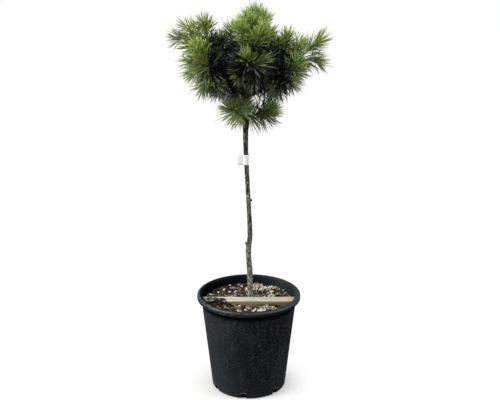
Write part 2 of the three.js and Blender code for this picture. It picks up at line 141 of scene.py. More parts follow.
# Stem: height above its foot, offset to the right, offset to the back, radius. The graft bulges at 523.
TRUNK_FOOT = 260.3
TRUNK_ROWS = np.array((
    (0, 4, 6, 9.6),
    (25, 4, 6, 8.4),
    (90, 3, 6, 8.1),
    (152, -1, 6, 7.7),
    (205, 3.5, 5, 6.9),
    (330, -2.2, 3, 6.2),
    (446, -7.8, 1, 6.5),
    (500, -8.6, 0, 7.2),
    (523, -8, 0, 10),
    (558, -7, 0, 8.2),
    (652, -5, 2, 6.2),
    (725, 0, 8, 4.2),
))
TRUNK_SIDES = 44
TRUNK_STEP = 1.6

# Cut stubs on the stem: height above its foot, turn, radius and reach
STUBS = ((174, 190, 4.2, 12), (303, 350, 3.4, 10.5))
STUB_RISE = 12
GRAFT_HEIGHT = 520

# Tag
TAG_HEIGHT = 668
TAG_WIDTH = 29
TAG_FLAG = 17
TAG_CURL = 3.2
TAG_PAPER = 0.35

# Boughs and shoots
BOUGH_ROOT_RADIUS = 4.6
BOUGH_TIP_RADIUS = 3.2
BOUGH_STEPS = 5
STEM_START = 0.3
STEM_LENGTH = 10
SHOOT_STEPS = 6
SEED_STEP = 77

# Needles stand off at a twig's foot and point forward at its bud, in bundles of four. For each kind of twig:
# the part of it where needles start, their angles at its foot and at its bud, their length against the mass's
# own, the fewest bundles, more bundles for each mm, droop and painted-light tone. A tone of -3 paints needles
# inside dark as shade.
YOUNG = (0.08, 50, 15, 0.95, 22, 0.55, 0.1, 0.06)
SHOOT = (0.05, 62, 16, 1.1, 20, 0.45, 0.25, -0.04)
THIN = (0.1, 46, 12, 1.0, 12, 0.38, 0.1, 0.1)
FAN = (0.35, 34, 8, 0.86, 22, 0.4, 0.0, 0.2)
WISP = (0.4, 50, 20, 1.02, 30, 0.75, 0.04, 0.06)
SPRIG = (0.25, 36, 8, 0.86, 16, 0.5, 0.0, 0.06)
DROOPING = (0.05, 52, 14, 1.0, 26, 0.5, 0.3, 0)
TUFT = (0.0, 84, 16, 1.05, 46, 0.9, 0.15, 0)
HANGING = (0.05, 62, 16, 0.75, 20, 0.45, 0.25, -0.04)
TWIGLET = (0.1, 50, 16, 0.8, 9, 0.4, 0.1, 0.05)
OLD_WOOD = (0.55, 104, 66, 1.2, 30, 0.3, 0.42, -0.2)
LOW_WOOD = (0.15, 88, 46, 0.92, 44, 0.9, 0.2, 0.32)
UNDER_BOUGH = (0.1, 100, 70, 1.15, 60, 1.2, 0.7, -3)
INSIDE_BOUGH = (0.12, 94, 60, 1.15, 30, 1.2, 0.3, -3)
INSIDE_YOUNG = (0.0, 85, 45, 0.7, 20, 0.25, 0.1, -3)
INSIDE_SHOOT = (0.0, 95, 60, 0.8, 38, 0.4, 0.2, -3)

# The short needles inside a shoot, painted dark as shade, the kinds of shoot without twiglets, the kinds that
# mingle with the next mass's needles, and the masses whose boughs have needles hanging under them
INSIDE = {YOUNG: (INSIDE_YOUNG,), SHOOT: (INSIDE_SHOOT,), FAN: (INSIDE_SHOOT,)}
UNBRANCHED = (FAN, WISP, SPRIG)
MINGLING_KINDS = (OLD_WOOD, LOW_WOOD, UNDER_BOUGH, INSIDE_BOUGH, INSIDE_SHOOT, INSIDE_YOUNG)
MINGLING = [kind[:-1] for kind in MINGLING_KINDS]
DENSE_BELOW = ("back_left", "back", "top_back", "front", "left_front")

# Masses that the light shines into, and what lifts their inner needles from dark to olive
OPEN_MASSES = ("left_high", "right", "right_high", "top", "top_front", "top_back")
OPEN_LIFT = 2.95
DEEP_INSIDE = -2

# Name, height on the stem, turn, rise, rise gained along it, length, needle length, seed.
# Then the turn, rise, length, kind and tone of each shoot at its end; the tone raises or lowers its painted
# light.
BOUGHS = (
    ("left_high", 884, 181, 42, 8, 139, 50, 605, (
        (184, 8, 76, THIN, 0.18), (167, 36, 64, YOUNG, 0.1), (219, 80, 59, YOUNG, 0.06),
        (19, 10, 42, SHOOT, 0), (196, -8, 40, THIN, 0.05))),
    ("left_front", 858, 217, 32, 10, 142, 48, 663, (
        (184, 53, 49, YOUNG, 0.1), (191, 9, 42, THIN, 0.5), (172, -32, 36, DROOPING, 0.62),
        (232, -75, 54, DROOPING, 0.56), (315, -62, 59, SHOOT, 0.12))),
    ("front", 876, 273, 37, 8, 114, 54, 307, (
        (262, 22, 38, FAN, 0.34), (308, -10, 30, SHOOT, -0.04), (194, -63, 32, SHOOT, 0.2),
        (350, -66, 38, SHOOT, 0.28))),
    ("right_front", 857, 321, 24, 10, 134, 48, 231, (
        (335, 24, 40, SHOOT, 0.04), (335, -45, 22, THIN, 0.3), (232, -57, 38, SHOOT, 0.1),
        (203, -18, 45, SHOOT, -0.2))),
    ("right", 878, 1, 28, 8, 150, 50, 341, (
        (4, 27, 71, WISP, 0.2), (1, -21, 47, THIN, 0.2), (47, 39, 37, SPRIG, 0.12))),
    ("right_high", 896, 341, 35, 8, 125, 42, 51, (
        (348, 76, 35, YOUNG, 0.12), (343, 10, 36, THIN, 0.2), (232, 28, 40, SHOOT, 0.14))),
    ("top_front", 908, 288, 49, 10, 97, 46, 398, (
        (303, 41, 55, YOUNG, 0.3), (208, 47, 59, YOUNG, 0.2), (7, 28, 50, YOUNG, 0.28))),
    ("back_left", 866, 138, 28, 8, 80, 50, 8, (
        (140, 40, 85, SHOOT, 0), (113, 76, 91, SHOOT, 0.02), (108, 6, 93, SHOOT, -0.2),
        (174, 11, 82, YOUNG, 0.1), (215, -72, 48, HANGING, -0.3))),
    ("back", 878, 92, 20, 10, 72, 52, 9, (
        (92, 34, 81, SHOOT, -0.2), (152, 50, 75, SHOOT, -0.35), (45, 53, 81, SHOOT, -0.1),
        (61, 5, 84, SHOOT, -0.1), (119, 3, 83, SHOOT, -0.25))),
    ("back_right", 862, 46, 28, 8, 80, 50, 10, (
        (42, 36, 79, SHOOT, 0), (38, 76, 78, SHOOT, -0.1), (5, 17, 88, YOUNG, 0.05), (70, 10, 88, SHOOT, 0),
        (330, -72, 46, HANGING, -0.3))),
    ("top_back", 908, 108, 54, 10, 54, 46, 11, (
        (86, 66, 72, YOUNG, 0), (166, 60, 76, YOUNG, 0), (45, 45, 73, YOUNG, 0), (190, 8, 45, SHOOT, -0.5))),
    ("low_left", 808, 232, 14, 6, 32, 48, 12, ((240, 10, 24, TUFT, 0.66), (300, 30, 22, TUFT, 0.54))),
    ("low_right", 802, 346, 14, 4, 26, 50, 13, ((332, 4, 26, TUFT, 0.38), (20, 6, 26, TUFT, 0.3))),
    ("low_back", 810, 100, 12, 6, 22, 46, 14, ((96, 6, 41, TUFT, 0.2), (145, 10, 36, TUFT, 0.2))),
)

# The stem's tip: needle length, seed and shoots
LEADER = (43, 442, (
    (255, 66, 78, YOUNG, 0.24), (330, 69, 92, YOUNG, 0.3), (357, 51, 80, YOUNG, 0.24),
    (280, 46, 81, YOUNG, 0.24)))
SHOOT_LIFT = 0.2

BUNDLE_NEEDLES = 4
BUNDLE_SPREAD = 0.026
NEEDLE_RADIUS = 0.62
TWIG_RADIUS = 2.3
TWIGLET_RADIUS = 1.1
TWIGLETS = 2
TWIGLET_LENGTH = 20
SPACE = 0.7
CREVICE = 0.5
MINGLE = 14
OVER_BOX = 12
NEEDLE_CUTS = (1, 0.86, 0.72, 0.58, 0.45, 0.33)

# Needle colours, painted light and shade from the sunlit tips to the deep inside, then the grey undersides,
# the pale painted-light tone and the dry ones
TONES = {
    "lime": (0.29, 0.38, 0.075),
    "bright": (0.17, 0.27, 0.045),
    "green": (0.1, 0.175, 0.035),
    "olive": (0.14, 0.15, 0.045),
    "blue": (0.058, 0.092, 0.046),
    "dark": (0.03, 0.055, 0.022),
    "deep": (0.007, 0.013, 0.007),
    "grey": (0.19, 0.245, 0.135),
    "pale": (0.34, 0.44, 0.17),
    "dry": (0.23, 0.13, 0.045),
}
TONE_STEPS = (-1, 0.24, 0.36, 0.44, 0.56, 0.68)
DEEP, GREY, PAINTED_LIGHT_TONE, DRY = 6, 7, 8, 9
DRY_SHARE = 0.005
GREY_FROM = 0.36
PAINTED_LIGHT_FROM = 0.3
TONE_SPREAD = 0.17
CROWN_MIDDLE = (0, 0, 930)
CROWN_REACH = 200
SUNNY_SIDE = -90
SUNNY_LIFT = 0.08


class Socket:
    """A shader value or colour that takes part in Python sums."""

    def __init__(self, finish, socket):
        self.finish = finish
        self.socket = socket

    def sum(self, operation, *inputs):
        return self.finish.node("ShaderNodeMath", {"operation": operation}, dict(enumerate(inputs)))

    def __add__(self, other):
        return self.sum("ADD", self, other)

    def __radd__(self, other):
        return self.sum("ADD", other, self)

    def __sub__(self, other):
        return self.sum("SUBTRACT", self, other)

    def __rsub__(self, other):
        return self.sum("SUBTRACT", other, self)

    def __mul__(self, other):
        return self.sum("MULTIPLY", self, other)

    def __rmul__(self, other):
        return self.sum("MULTIPLY", other, self)

    def __gt__(self, other):
        return self.sum("GREATER_THAN", self, other)

    def between(self, low, high):
        """0 at low, 1 at high and smooth between them."""
        smooth = {"interpolation_type": "SMOOTHSTEP"}
        return self.finish.node("ShaderNodeMapRange", smooth, {0: self, 1: low, 2: high})


class Finish:
    """A procedural material. Its patterns lie in the object's own space, in metres."""

    def __init__(self, name):
        self.material = bpy.data.materials.new(name)
        self.material.use_nodes = True
        self.tree = self.material.node_tree
        self.tree.nodes.clear()

    def node(self, kind, settings, sockets, output=0):
        made = self.tree.nodes.new(kind)
        for name, value in settings.items():
            if name == "stops":
                self.set_stops(made.color_ramp, value)
            else:
                setattr(made, name, value)
        for name, value in sockets.items():
            if isinstance(value, Socket):
                self.tree.links.new(value.socket, made.inputs[name])
            else:
                made.inputs[name].default_value = value
        return Socket(self, made.outputs[output])

    @staticmethod
    def set_stops(ramp, stops):
        while len(ramp.elements) < len(stops):
            ramp.elements.new(1)
        for element, (place, colour) in zip(ramp.elements, stops):
            element.position = place
            element.color = (*colour, 1)

    def place(self, stretch=(1, 1, 1)):
        """Place on the object, with each axis of a pattern made finer by its stretch."""
        there = self.node("ShaderNodeTexCoord", {}, {}, "Object")
        return self.node("ShaderNodeVectorMath", {"operation": "MULTIPLY"}, {0: there, 1: stretch})

    def axis(self, which):
        return self.node("ShaderNodeSeparateXYZ", {}, {0: self.place()}, which)

    def height(self):
        return self.axis(2)

    def cloud(self, scale, stretch=(1, 1, 1), detail=4, rough=0.55):
        sockets = {"Vector": self.place(stretch), "Scale": scale, "Detail": detail, "Roughness": rough}
        return self.node("ShaderNodeTexNoise", {}, sockets)

    def cells(self, scale, stretch=(1, 1, 1), output="Distance"):
        sockets = {"Vector": self.place(stretch), "Scale": scale}
        return self.node("ShaderNodeTexVoronoi", {}, sockets, output)

    def cracks(self, scale, stretch=(1, 1, 1)):
        """Distance to the edge between two cells: 0 in a crack."""
        sockets = {"Vector": self.place(stretch), "Scale": scale}
        return self.node("ShaderNodeTexVoronoi", {"feature": "DISTANCE_TO_EDGE"}, sockets)

    def chance(self, scale, stretch=(1, 1, 1)):
        """One number for each cell."""
        cell = self.cells(scale, stretch, "Color")
        return self.node("ShaderNodeSeparateColor", {}, {0: cell})

    def ramp(self, value, *stops):
        return self.node("ShaderNodeValToRGB", {"stops": stops}, {0: value})

    def mix(self, factor, first, second):
        """Colour that goes from the first to the second as the factor goes from 0 to 1."""
        colours = {
            name: colour if isinstance(colour, Socket) else (*colour, 1)
            for name, colour in ((6, first), (7, second))
        }
        return self.node("ShaderNodeMix", {"data_type": "RGBA"}, {0: factor, **colours}, 2)

    def bump(self, height, strength, distance):
        sockets = {"Height": height, "Strength": strength, "Distance": distance * MM}
        return self.node("ShaderNodeBump", {}, sockets)

    def done(self, colour, roughness, specular=0.5, **sockets):
        base = colour if isinstance(colour, Socket) else (*colour, 1)
        surface = {"Base Color": base, "Roughness": roughness, "Specular IOR Level": specular, **sockets}
        shader = self.node("ShaderNodeBsdfPrincipled", {}, surface)
        self.connect(shader)
        return self.material

    def connect(self, shader):
        output = self.tree.nodes.new("ShaderNodeOutputMaterial")
        self.tree.links.new(shader.socket, output.inputs["Surface"])


class Gathered:
    """Points and faces of many small shapes that become one mesh."""

    def __init__(self):
        self.points = []
        self.faces = []
        self.marks = []
        self.count = 0

    def add(self, points, faces, mark=0):
        self.points.append(points)
        self.faces.append(np.asarray(faces) + self.count)
        self.marks.append(np.full(len(faces), mark))
        self.count += len(points)

    def piece(self, name, finishes, slot, smooth=True):
        points = np.concatenate(self.points)
        faces = np.concatenate(self.faces)
        made = piece(name, points, faces, finishes, slot, smooth)
        made.data.polygons.foreach_set("material_index", np.concatenate(self.marks).astype(np.int32))
        return made


def piece(name, points, faces, finishes, slot, smooth=True):
    """An object that rides on the tree, from points in millimetres and faces of one number of corners."""
    mesh = bpy.data.meshes.new(name)
    corners = faces.shape[1]
    mesh.vertices.add(len(points))
    mesh.vertices.foreach_set("co", (points * MM).astype(np.float32).ravel())
    mesh.loops.add(faces.size)
    mesh.loops.foreach_set("vertex_index", faces.astype(np.int32).ravel())
    mesh.polygons.add(len(faces))
    mesh.polygons.foreach_set("loop_start", np.arange(0, faces.size, corners, dtype=np.int32))
    mesh.polygons.foreach_set("use_smooth", np.full(len(faces), smooth))
    mesh.update(calc_edges=True)
    for finish in finishes:
        mesh.materials.append(finish)
    made = bpy.data.objects.new(name, mesh)
    bpy.context.scene.collection.objects.link(made)
    if slot:
        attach(made, "root")
    return made


def applied(made):
    """Turns an object's modifiers into its mesh."""
    bpy.context.view_layer.update()
    evaluated = made.evaluated_get(bpy.context.evaluated_depsgraph_get())
    mesh = bpy.data.meshes.new_from_object(evaluated)
    made.modifiers.clear()
    made.data = mesh


def smooth_step(value, low, high):
    part = np.clip((value - low) / (high - low), 0, 1)
    return part * part * (3 - 2 * part)


def heading(turn, rise):
    """Unit direction from a turn about +Z and a rise above the level, in degrees."""
    turn, rise = math.radians(turn), math.radians(rise)
    return np.array((math.cos(rise) * math.cos(turn), math.cos(rise) * math.sin(turn), math.sin(rise)))


def unit(vectors):
    return vectors / np.linalg.norm(vectors, axis=-1, keepdims=True)


def curve_through(points, places):
    """Catmull-Rom curve through the points, read at places counted in points."""
    padded = np.vstack((2 * points[0] - points[1], points, 2 * points[-1] - points[-2]))
    places = np.asarray(places, float)
    k = np.minimum(places.astype(int), len(points) - 2)
    t = (places - k)[:, None]
    p0, p1, p2, p3 = (padded[k + i] for i in range(4))
    leave, arrive = 0.5 * (p2 - p0), 0.5 * (p3 - p1)
    return (
        p1
        + leave * t
        + (-3 * p1 + 3 * p2 - 2 * leave - arrive) * t**2
        + (2 * p1 - 2 * p2 + leave + arrive) * t**3
    )


def rough(points, size, stretch=1.0, seed=0.0):
    """Smooth noise from -1 to 1 at each point, its lumps as large as size and stretched along the height."""
    spread = points / np.array((size, size, size * stretch)) + seed
    return np.array([noise.noise(Vector(p)) for p in spread])


def frames_along(path):
    """Unit vectors along, across and above each point of a path, without twist."""
    ahead = unit(np.gradient(path, axis=0))
    side = np.cross(ahead[0], UP)
    if np.linalg.norm(side) < 0.2:
        side = np.array((1.0, 0.0, 0.0))
    across = np.empty_like(path)
    for k, way in enumerate(ahead):
        side = side - way * side.dot(way)
        side = side / np.linalg.norm(side)
        across[k] = side
    return ahead, across, np.cross(ahead, across)


def ring_faces(rings, sides):
    """Quads between neighbouring rings of points."""
    k, i = np.meshgrid(np.arange(rings - 1), np.arange(sides), indexing="ij")
    here, on = k * sides + i, k * sides + (i + 1) % sides
    return np.stack((here, on, on + sides, here + sides), axis=-1).reshape(-1, 4)


def limb(path, radii, sides, relief=0.0, grain=4.0, seed=0.0):
    """A round limb along a path, closed at both ends, with bark as deep as the relief."""
    _, across, above = frames_along(path)
    angles = np.arange(sides) * 2 * math.pi / sides
    around = across[:, None] * np.cos(angles)[:, None] + above[:, None] * np.sin(angles)[:, None]
    radii = np.asarray(radii, float)[:, None] * np.ones((1, sides))
    if relief:
        surface = path[:, None] + around * radii[..., None]
        surface = surface.reshape(-1, 3)
        lumps = rough(surface, grain, 1.6, seed) + 0.5 * rough(surface, grain / 2.6)
        radii = radii + relief * lumps.reshape(radii.shape)
    radii[[0, -1]] = 0.02
    points = path[:, None] + around * radii[..., None]
    return points.reshape(-1, 3), ring_faces(len(path), sides)


# Stem
TRUNK_PLACES = np.arange(2 * len(TRUNK_ROWS) - 1) / 2
TRUNK_LINE = np.column_stack((TRUNK_ROWS[:, 1], TRUNK_ROWS[:, 2], TRUNK_ROWS[:, 0] + TRUNK_FOOT))
TRUNK_CENTRES = curve_through(TRUNK_LINE, TRUNK_PLACES)
TRUNK_RADII = np.interp(TRUNK_PLACES, np.arange(len(TRUNK_ROWS)), TRUNK_ROWS[:, 3])


def trunk_at(height):
    """Centre and radius of the stem at a height, straight between the source's rings."""
    rows = (*TRUNK_CENTRES[:, :2].T, TRUNK_RADII)
    x, y, radius = (np.interp(height, TRUNK_CENTRES[:, 2], row) for row in rows)
    return np.array((x, y, height)), float(radius)


def bark_finish():
    finish = Finish("pine_bark")
    tall = (1, 1, 0.42)
    height = finish.height()
    young = 0.6 * height.between(0.33, 0.5) + 0.4 * height.between(0.6, 0.72)
    plates = finish.cloud(130, tall, 6, 0.68)
    cracks = finish.cracks(165, tall)
    lichen = finish.cloud(210, (1, 1, 0.6), 4).between(0.5, 0.6) * finish.cloud(34, tall).between(0.4, 0.56)
    old = finish.ramp(
        plates,
        (0.36, (0.03, 0.028, 0.022)),
        (0.5, (0.15, 0.145, 0.115)),
        (0.63, (0.5, 0.48, 0.4)),
    )
    brown = finish.ramp(
        plates,
        (0.36, (0.006, 0.005, 0.0035)),
        (0.5, (0.028, 0.024, 0.017)),
        (0.64, (0.12, 0.107, 0.082)),
    )
    bare = finish.mix(young, old, brown)
    split = finish.mix(cracks.between(0.0, 0.12), (0.012, 0.01, 0.008), bare)
    colour = finish.mix(lichen * (0.7 - 0.35 * young), split, (0.55, 0.56, 0.49))
    relief = plates + cracks.between(0.0, 0.16) * 0.6
    return finish.done(colour, 0.86, 0.2, Normal=finish.bump(relief, 0.9, 0.9))


def twig_finish():
    finish = Finish("orange_brown_twig")
    scales = finish.cells(330)
    colour = finish.ramp(finish.cloud(190), (0.3, (0.05, 0.028, 0.012)), (0.6, (0.17, 0.1, 0.045)))
    shaded = finish.mix(scales.between(0.1, 0.7), (0.026, 0.016, 0.009), colour)
    return finish.done(shaded, 0.7, 0.3, Normal=finish.bump(scales, 0.8, 0.5))


def stem_relief(surface, angles):
    """How far the bark stands out at each point: lumps, the graft's seam and the stubs' collars."""
    lumps = 0.55 * rough(surface, 7, 2.2) + 0.42 * rough(surface, 2.6, 2.0, 9.1)
    lumps += 0.2 * rough(surface, 1.2, 1.4, 3.7)
    seam = TRUNK_FOOT + GRAFT_HEIGHT + 5 * np.cos(angles - 0.7)
    lumps -= 0.9 * np.exp(-(((surface[:, 2] - seam) / 1.8) ** 2))
    for height, turn, _, _ in STUBS:
        centre, radius = trunk_at(TRUNK_FOOT + height)
        collar = np.linalg.norm(surface - centre - heading(turn, STUB_RISE) * radius, axis=1)
        lumps += 1.3 * np.exp(-((collar / 6.5) ** 2))
    return lumps


def stub(height, turn, radius, reach):
    """A side shoot's stub, cut off square."""
    centre, _ = trunk_at(TRUNK_FOOT + height)
    way = heading(turn, STUB_RISE)
    path = centre + np.linspace(0, 1, 14)[:, None] * way * reach
    path = np.vstack((path, path[-1] + way * 0.1))
    radii = np.interp(np.arange(15), (0, 9, 13, 14), (radius * 1.25, radius, radius * 0.86, 0))
    return limb(path, radii, 20, 0.35, 3)


def stem(bark):
    """The stem with its bark's relief, the swollen graft and its two cut stubs."""
    count = int(TRUNK_ROWS[-1, 0] / TRUNK_STEP)
    places = np.linspace(0, len(TRUNK_ROWS) - 1, count)
    path = curve_through(TRUNK_LINE, places)
    radii = np.interp(places, np.arange(len(TRUNK_ROWS)), TRUNK_ROWS[:, 3])
    radii = np.convolve(np.pad(radii, 6, mode="edge"), np.ones(13) / 13, mode="valid")
    angles = np.arange(TRUNK_SIDES) * 2 * math.pi / TRUNK_SIDES
    around = np.column_stack((np.cos(angles), np.sin(angles), np.zeros(TRUNK_SIDES)))
    surface = (path[:, None] + around * radii[:, None, None]).reshape(-1, 3)
    lumps = stem_relief(surface, np.tile(angles, count))
    swell = (radii[:, None] + lumps.reshape(count, TRUNK_SIDES))[..., None]
    points = path[:, None] + around * swell
    points[[0, -1]] = path[[0, -1], None] + around * 0.02
    gathered = Gathered()
    gathered.add(points.reshape(-1, 3), ring_faces(count, TRUNK_SIDES))
    for row in STUBS:
        gathered.add(*stub(*row))
    made = gathered.piece("stem_bark", [bark], "bark")
    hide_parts("trunk")


def bough_path(height, turn, rise, bend, length):
    path = [trunk_at(height)[0]]
    for k in range(BOUGH_STEPS):
        path.append(path[k] + heading(turn, rise + bend * (k + 0.5) / BOUGH_STEPS) * length / BOUGH_STEPS)
    return np.array(path)


def boughs(bark):
    gathered = Gathered()
    for i, (path, plan) in enumerate(zip(BOUGH_PATHS, PLANS)):
        line = curve_through(np.vstack((path, plan["fork"])), np.linspace(0, BOUGH_STEPS + 1, 60))
        radii = np.linspace(BOUGH_ROOT_RADIUS, BOUGH_TIP_RADIUS * 0.92, 60)
        radii[:14] += 1.6 * np.linspace(1, 0, 14) ** 2
        gathered.add(*limb(line, radii, 14, 0.5, 4, i * 3.1))
    leader = PLANS[-1]
    line = np.linspace(leader["foot"] - UP * 8, leader["fork"], 14)
    gathered.add(*limb(line, np.full(14, BOUGH_TIP_RADIUS), 14, 0.4, 4, 50))
    made = gathered.piece("boughs_bark", [bark], "bark")
    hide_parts(*(f"bough_{bough[0]}" for bough in BOUGHS))


# Shoots
def shoot_path(start, direction, length, lift=SHOOT_LIFT, steps=SHOOT_STEPS):
    """Path of a shoot that turns up towards the light."""
    path = [start]
    for k in range(steps):
        path.append(path[k] + unit(direction + UP * (2 * lift * (k + 0.5)) / steps) * length / steps)
    return np.array(path)


def mass_plan(name, limb_line, along, needle, seed, shoots):
    foot = limb_line[-1] + along * STEM_START
    fork = foot + along * STEM_LENGTH
    paths = [shoot_path(fork, heading(turn, rise), length) for turn, rise, length, _, _ in shoots]
    lift = OPEN_LIFT if name in OPEN_MASSES else 0
    inside = {kind: [(*inner[:-1], inner[-1] + lift) for inner in inners] for kind, inners in INSIDE.items()}
    kinds = [((*kind[:-1], kind[-1] + tone), *inside.get(kind, ())) for _, _, _, kind, tone in shoots]
    branched = [kind not in UNBRANCHED for _, _, _, kind, _ in shoots]
    plan = {"name": name, "limb": limb_line, "foot": foot, "fork": fork, "paths": paths, "kinds": kinds}
    return {**plan, "branched": branched, "needle": needle, "seed": seed}


BOUGH_PATHS = [bough_path(*bough[1:6]) for bough in BOUGHS]
PLANS = [
    mass_plan(bough[0], path, unit(path[-1] - path[-2]), *bough[6:])
    for bough, path in zip(BOUGHS, BOUGH_PATHS)
]
PLANS.append(mass_plan("top", TRUNK_CENTRES[-3:], UP, *LEADER))


def on_path(path, parts):
    """Points at parts of a path, 0 at its foot and 1 at its end, and the directions there."""
    places = np.clip(np.atleast_1d(parts), 0, 0.9999) * (len(path) - 1)
    k = places.astype(int)
    spans = path[1:] - path[:-1]
    return path[k] + spans[k] * (places - k)[:, None], unit(spans[k])


def twiglet_paths(path, rng):
    """Finer twigs that leave a shoot round its outer half."""
    parts = np.linspace(0.66, 0.9, TWIGLETS) + rng.uniform(-0.04, 0.04, TWIGLETS)
    starts, ahead = on_path(path, parts)
    turn = rng.uniform(0, 2 * math.pi)
    paths = []
    for i, (start, way) in enumerate(zip(starts, ahead)):
        across = unit(np.cross(way, UP))
        above = np.cross(across, way)
        angle = turn + GOLDEN_TURN * i
        lean = math.radians(rng.uniform(34, 50))
        sideways = across * math.cos(angle) + above * math.sin(angle)
        length = TWIGLET_LENGTH * rng.uniform(0.8, 1.2) * (1.15 - 0.35 * parts[i])
        paths.append(shoot_path(start, way * math.cos(lean) + sideways * math.sin(lean), length, 0.22, 4))
    return paths


def bundles(path, kind, needle, radius, rng):
    """Roots, directions, lengths and bends of the needles along one twig, and the tone of each."""
    first, foot_angle, bud_angle, long, least, more, droop, tone = kind
    span = float(np.linalg.norm(path[1:] - path[:-1], axis=1).sum())
    count = int(least + more * span * (1 - first))
    order = np.arange(count)
    parts = first + (0.99 - first) * ((order + 0.5) / count) ** 0.92
    roots, ahead = on_path(path, parts)
    across = unit(np.cross(ahead, UP + 1e-3))
    above = np.cross(across, ahead)
    angle = order * GOLDEN_TURN + rng.uniform(0, 0.5, count)
    outward = across * np.cos(angle)[:, None] + above * np.sin(angle)[:, None]
    share = (parts - first) / (1 - first)
    lean = np.radians(foot_angle + (bud_angle - foot_angle) * share + rng.uniform(-9, 9, count))
    way = ahead * np.cos(lean)[:, None] + outward * np.sin(lean)[:, None]
    way = unit(way - UP * (droop * (1 - share))[:, None])
    lengths = needle * long * rng.uniform(0.84, 1.12, count) * (1.12 - 0.2 * share)
    bend = ahead * 0.07 - UP * (0.1 * (1 - share))[:, None] + rng.normal(0, 0.03, (count, 3))
    marks = spray_tones(roots + way * lengths[:, None] * 0.6, way, share, tone, rng)
    roots = np.repeat(roots + outward * radius * 0.7, BUNDLE_NEEDLES, axis=0)
    way = np.repeat(way, BUNDLE_NEEDLES, axis=0)
    way = unit(way + rng.normal(0, BUNDLE_SPREAD, way.shape))
    lengths = np.repeat(lengths, BUNDLE_NEEDLES) * rng.uniform(0.88, 1.06, len(way))
    return roots, way, lengths, np.repeat(bend, BUNDLE_NEEDLES, axis=0), np.repeat(marks, BUNDLE_NEEDLES)


def distances(points, starts, ends):
    """Distance from each point to each straight stretch."""
    spans = ends - starts
    share = ((points[:, None] - starts) * spans).sum(-1) / (spans**2).sum(-1)
    nearest = starts + spans * np.clip(share, 0, 1)[..., None]
    return np.linalg.norm(points[:, None] - nearest, axis=-1)


SHOOT_PARTS = np.linspace(0.1, 1, 5)
SHOOT_LINES = [(plan["name"], on_path(path, SHOOT_PARTS)[0]) for plan in PLANS for path in plan["paths"]]
SHOOT_OWNERS = np.array([name for name, _ in SHOOT_LINES])
SHOOT_STARTS = np.concatenate([line[:-1] for _, line in SHOOT_LINES])
SHOOT_ENDS = np.concatenate([line[1:] for _, line in SHOOT_LINES])
LIMB_STARTS = np.concatenate([TRUNK_CENTRES[:-1], *(path[:-1] for path in BOUGH_PATHS)])
LIMB_ENDS = np.concatenate([TRUNK_CENTRES[1:], *(path[1:] for path in BOUGH_PATHS)])
LIMB_RADII = np.concatenate([
    np.maximum(TRUNK_RADII[:-1], TRUNK_RADII[1:]),
    np.full(BOUGH_STEPS * len(BOUGHS), BOUGH_ROOT_RADIUS),
])


def in_own_space(points, name, low, high, crevice):
    """Whether points lie near their own mass's shoots, clear of the limbs and inside the mass's box."""
    inside = np.all((points > low) & (points < high), axis=1)
    found = np.zeros(len(points), bool)
    for chunk in np.array_split(np.flatnonzero(inside), max(1, int(inside.sum() / 4000))):
        to_limbs = distances(points[chunk], LIMB_STARTS, LIMB_ENDS) - LIMB_RADII
        to_stretches = distances(points[chunk], SHOOT_STARTS, SHOOT_ENDS)
        to_shoots = to_stretches.reshape(len(chunk), len(SHOOT_LINES), len(SHOOT_PARTS) - 1).min(2)
        own = to_shoots[:, SHOOT_OWNERS == name].min(1)
        others = to_shoots[:, SHOOT_OWNERS != name].min(1)
        found[chunk] = (to_limbs.min(1) > SPACE) & (own < others - crevice[chunk])
    return found


def needles_in_space(roots, way, lengths, bend, crevice, name, low, high):
    """The length that each needle may have, 0 where it has no room."""
    allowed = np.zeros(len(roots))
    waiting = np.arange(len(roots))
    for cut in NEEDLE_CUTS:
        if not len(waiting):
            break
        span = lengths[waiting, None] * cut
        fits = np.ones(len(waiting), bool)
        for part in (0.55, 1):
            probe = roots[waiting] + way[waiting] * span * part + bend[waiting] * span * part**2
            fits &= in_own_space(probe, name, low, high, crevice[waiting])
        allowed[waiting[fits]] = span[fits, 0]
        waiting = waiting[~fits]
    return allowed


NEEDLE_RINGS = ((0, 0.8), (1 / 3, 1), (2 / 3, 0.78))
NEEDLE_FACES = np.array([
    face
    for k in (0, 3)
    for i in range(3)
    for face in (
        (k + i, k + (i + 1) % 3, k + 3 + i),
        (k + (i + 1) % 3, k + 3 + (i + 1) % 3, k + 3 + i),
    )
] + [(6 + i, 6 + (i + 1) % 3, 9) for i in range(3)])


def needle_shapes(roots, way, lengths, bend, radius):
    """Slim three-sided needles that bend and taper to a point."""
    count = len(roots)
    across = unit(np.cross(way, UP + np.array((0.013, 0.007, 0))))
    above = np.cross(way, across)
    length = lengths[:, None]
    points = np.empty((count, 10, 3))
    for k, (part, thick) in enumerate(NEEDLE_RINGS):
        centre = roots + way * length * part + bend * length * part**2
        for i in range(3):
            angle = 2 * math.pi * i / 3
            around = across * math.cos(angle) + above * math.sin(angle)
            points[:, 3 * k + i] = centre + around * radius * thick
    points[:, 9] = roots + way * length + bend * length
    faces = NEEDLE_FACES + (np.arange(count) * 10)[:, None, None]
    return points.reshape(-1, 3), faces.reshape(-1, 3)


def where_painted_light(places):
    """Where bright needles get the pale tone as painted light: the lower left side, the top and the low left
    tuft.
    """
    x, z = places[:, 0], places[:, 2]
    return ((x < -96) & (z < 962)) | (z > 1080) | ((x < 8) & (z < 855))


def where_hazy(places):
    """The crown's far left tips, which look grey."""
    return (places[:, 0] < -176) & (places[:, 2] > 940)


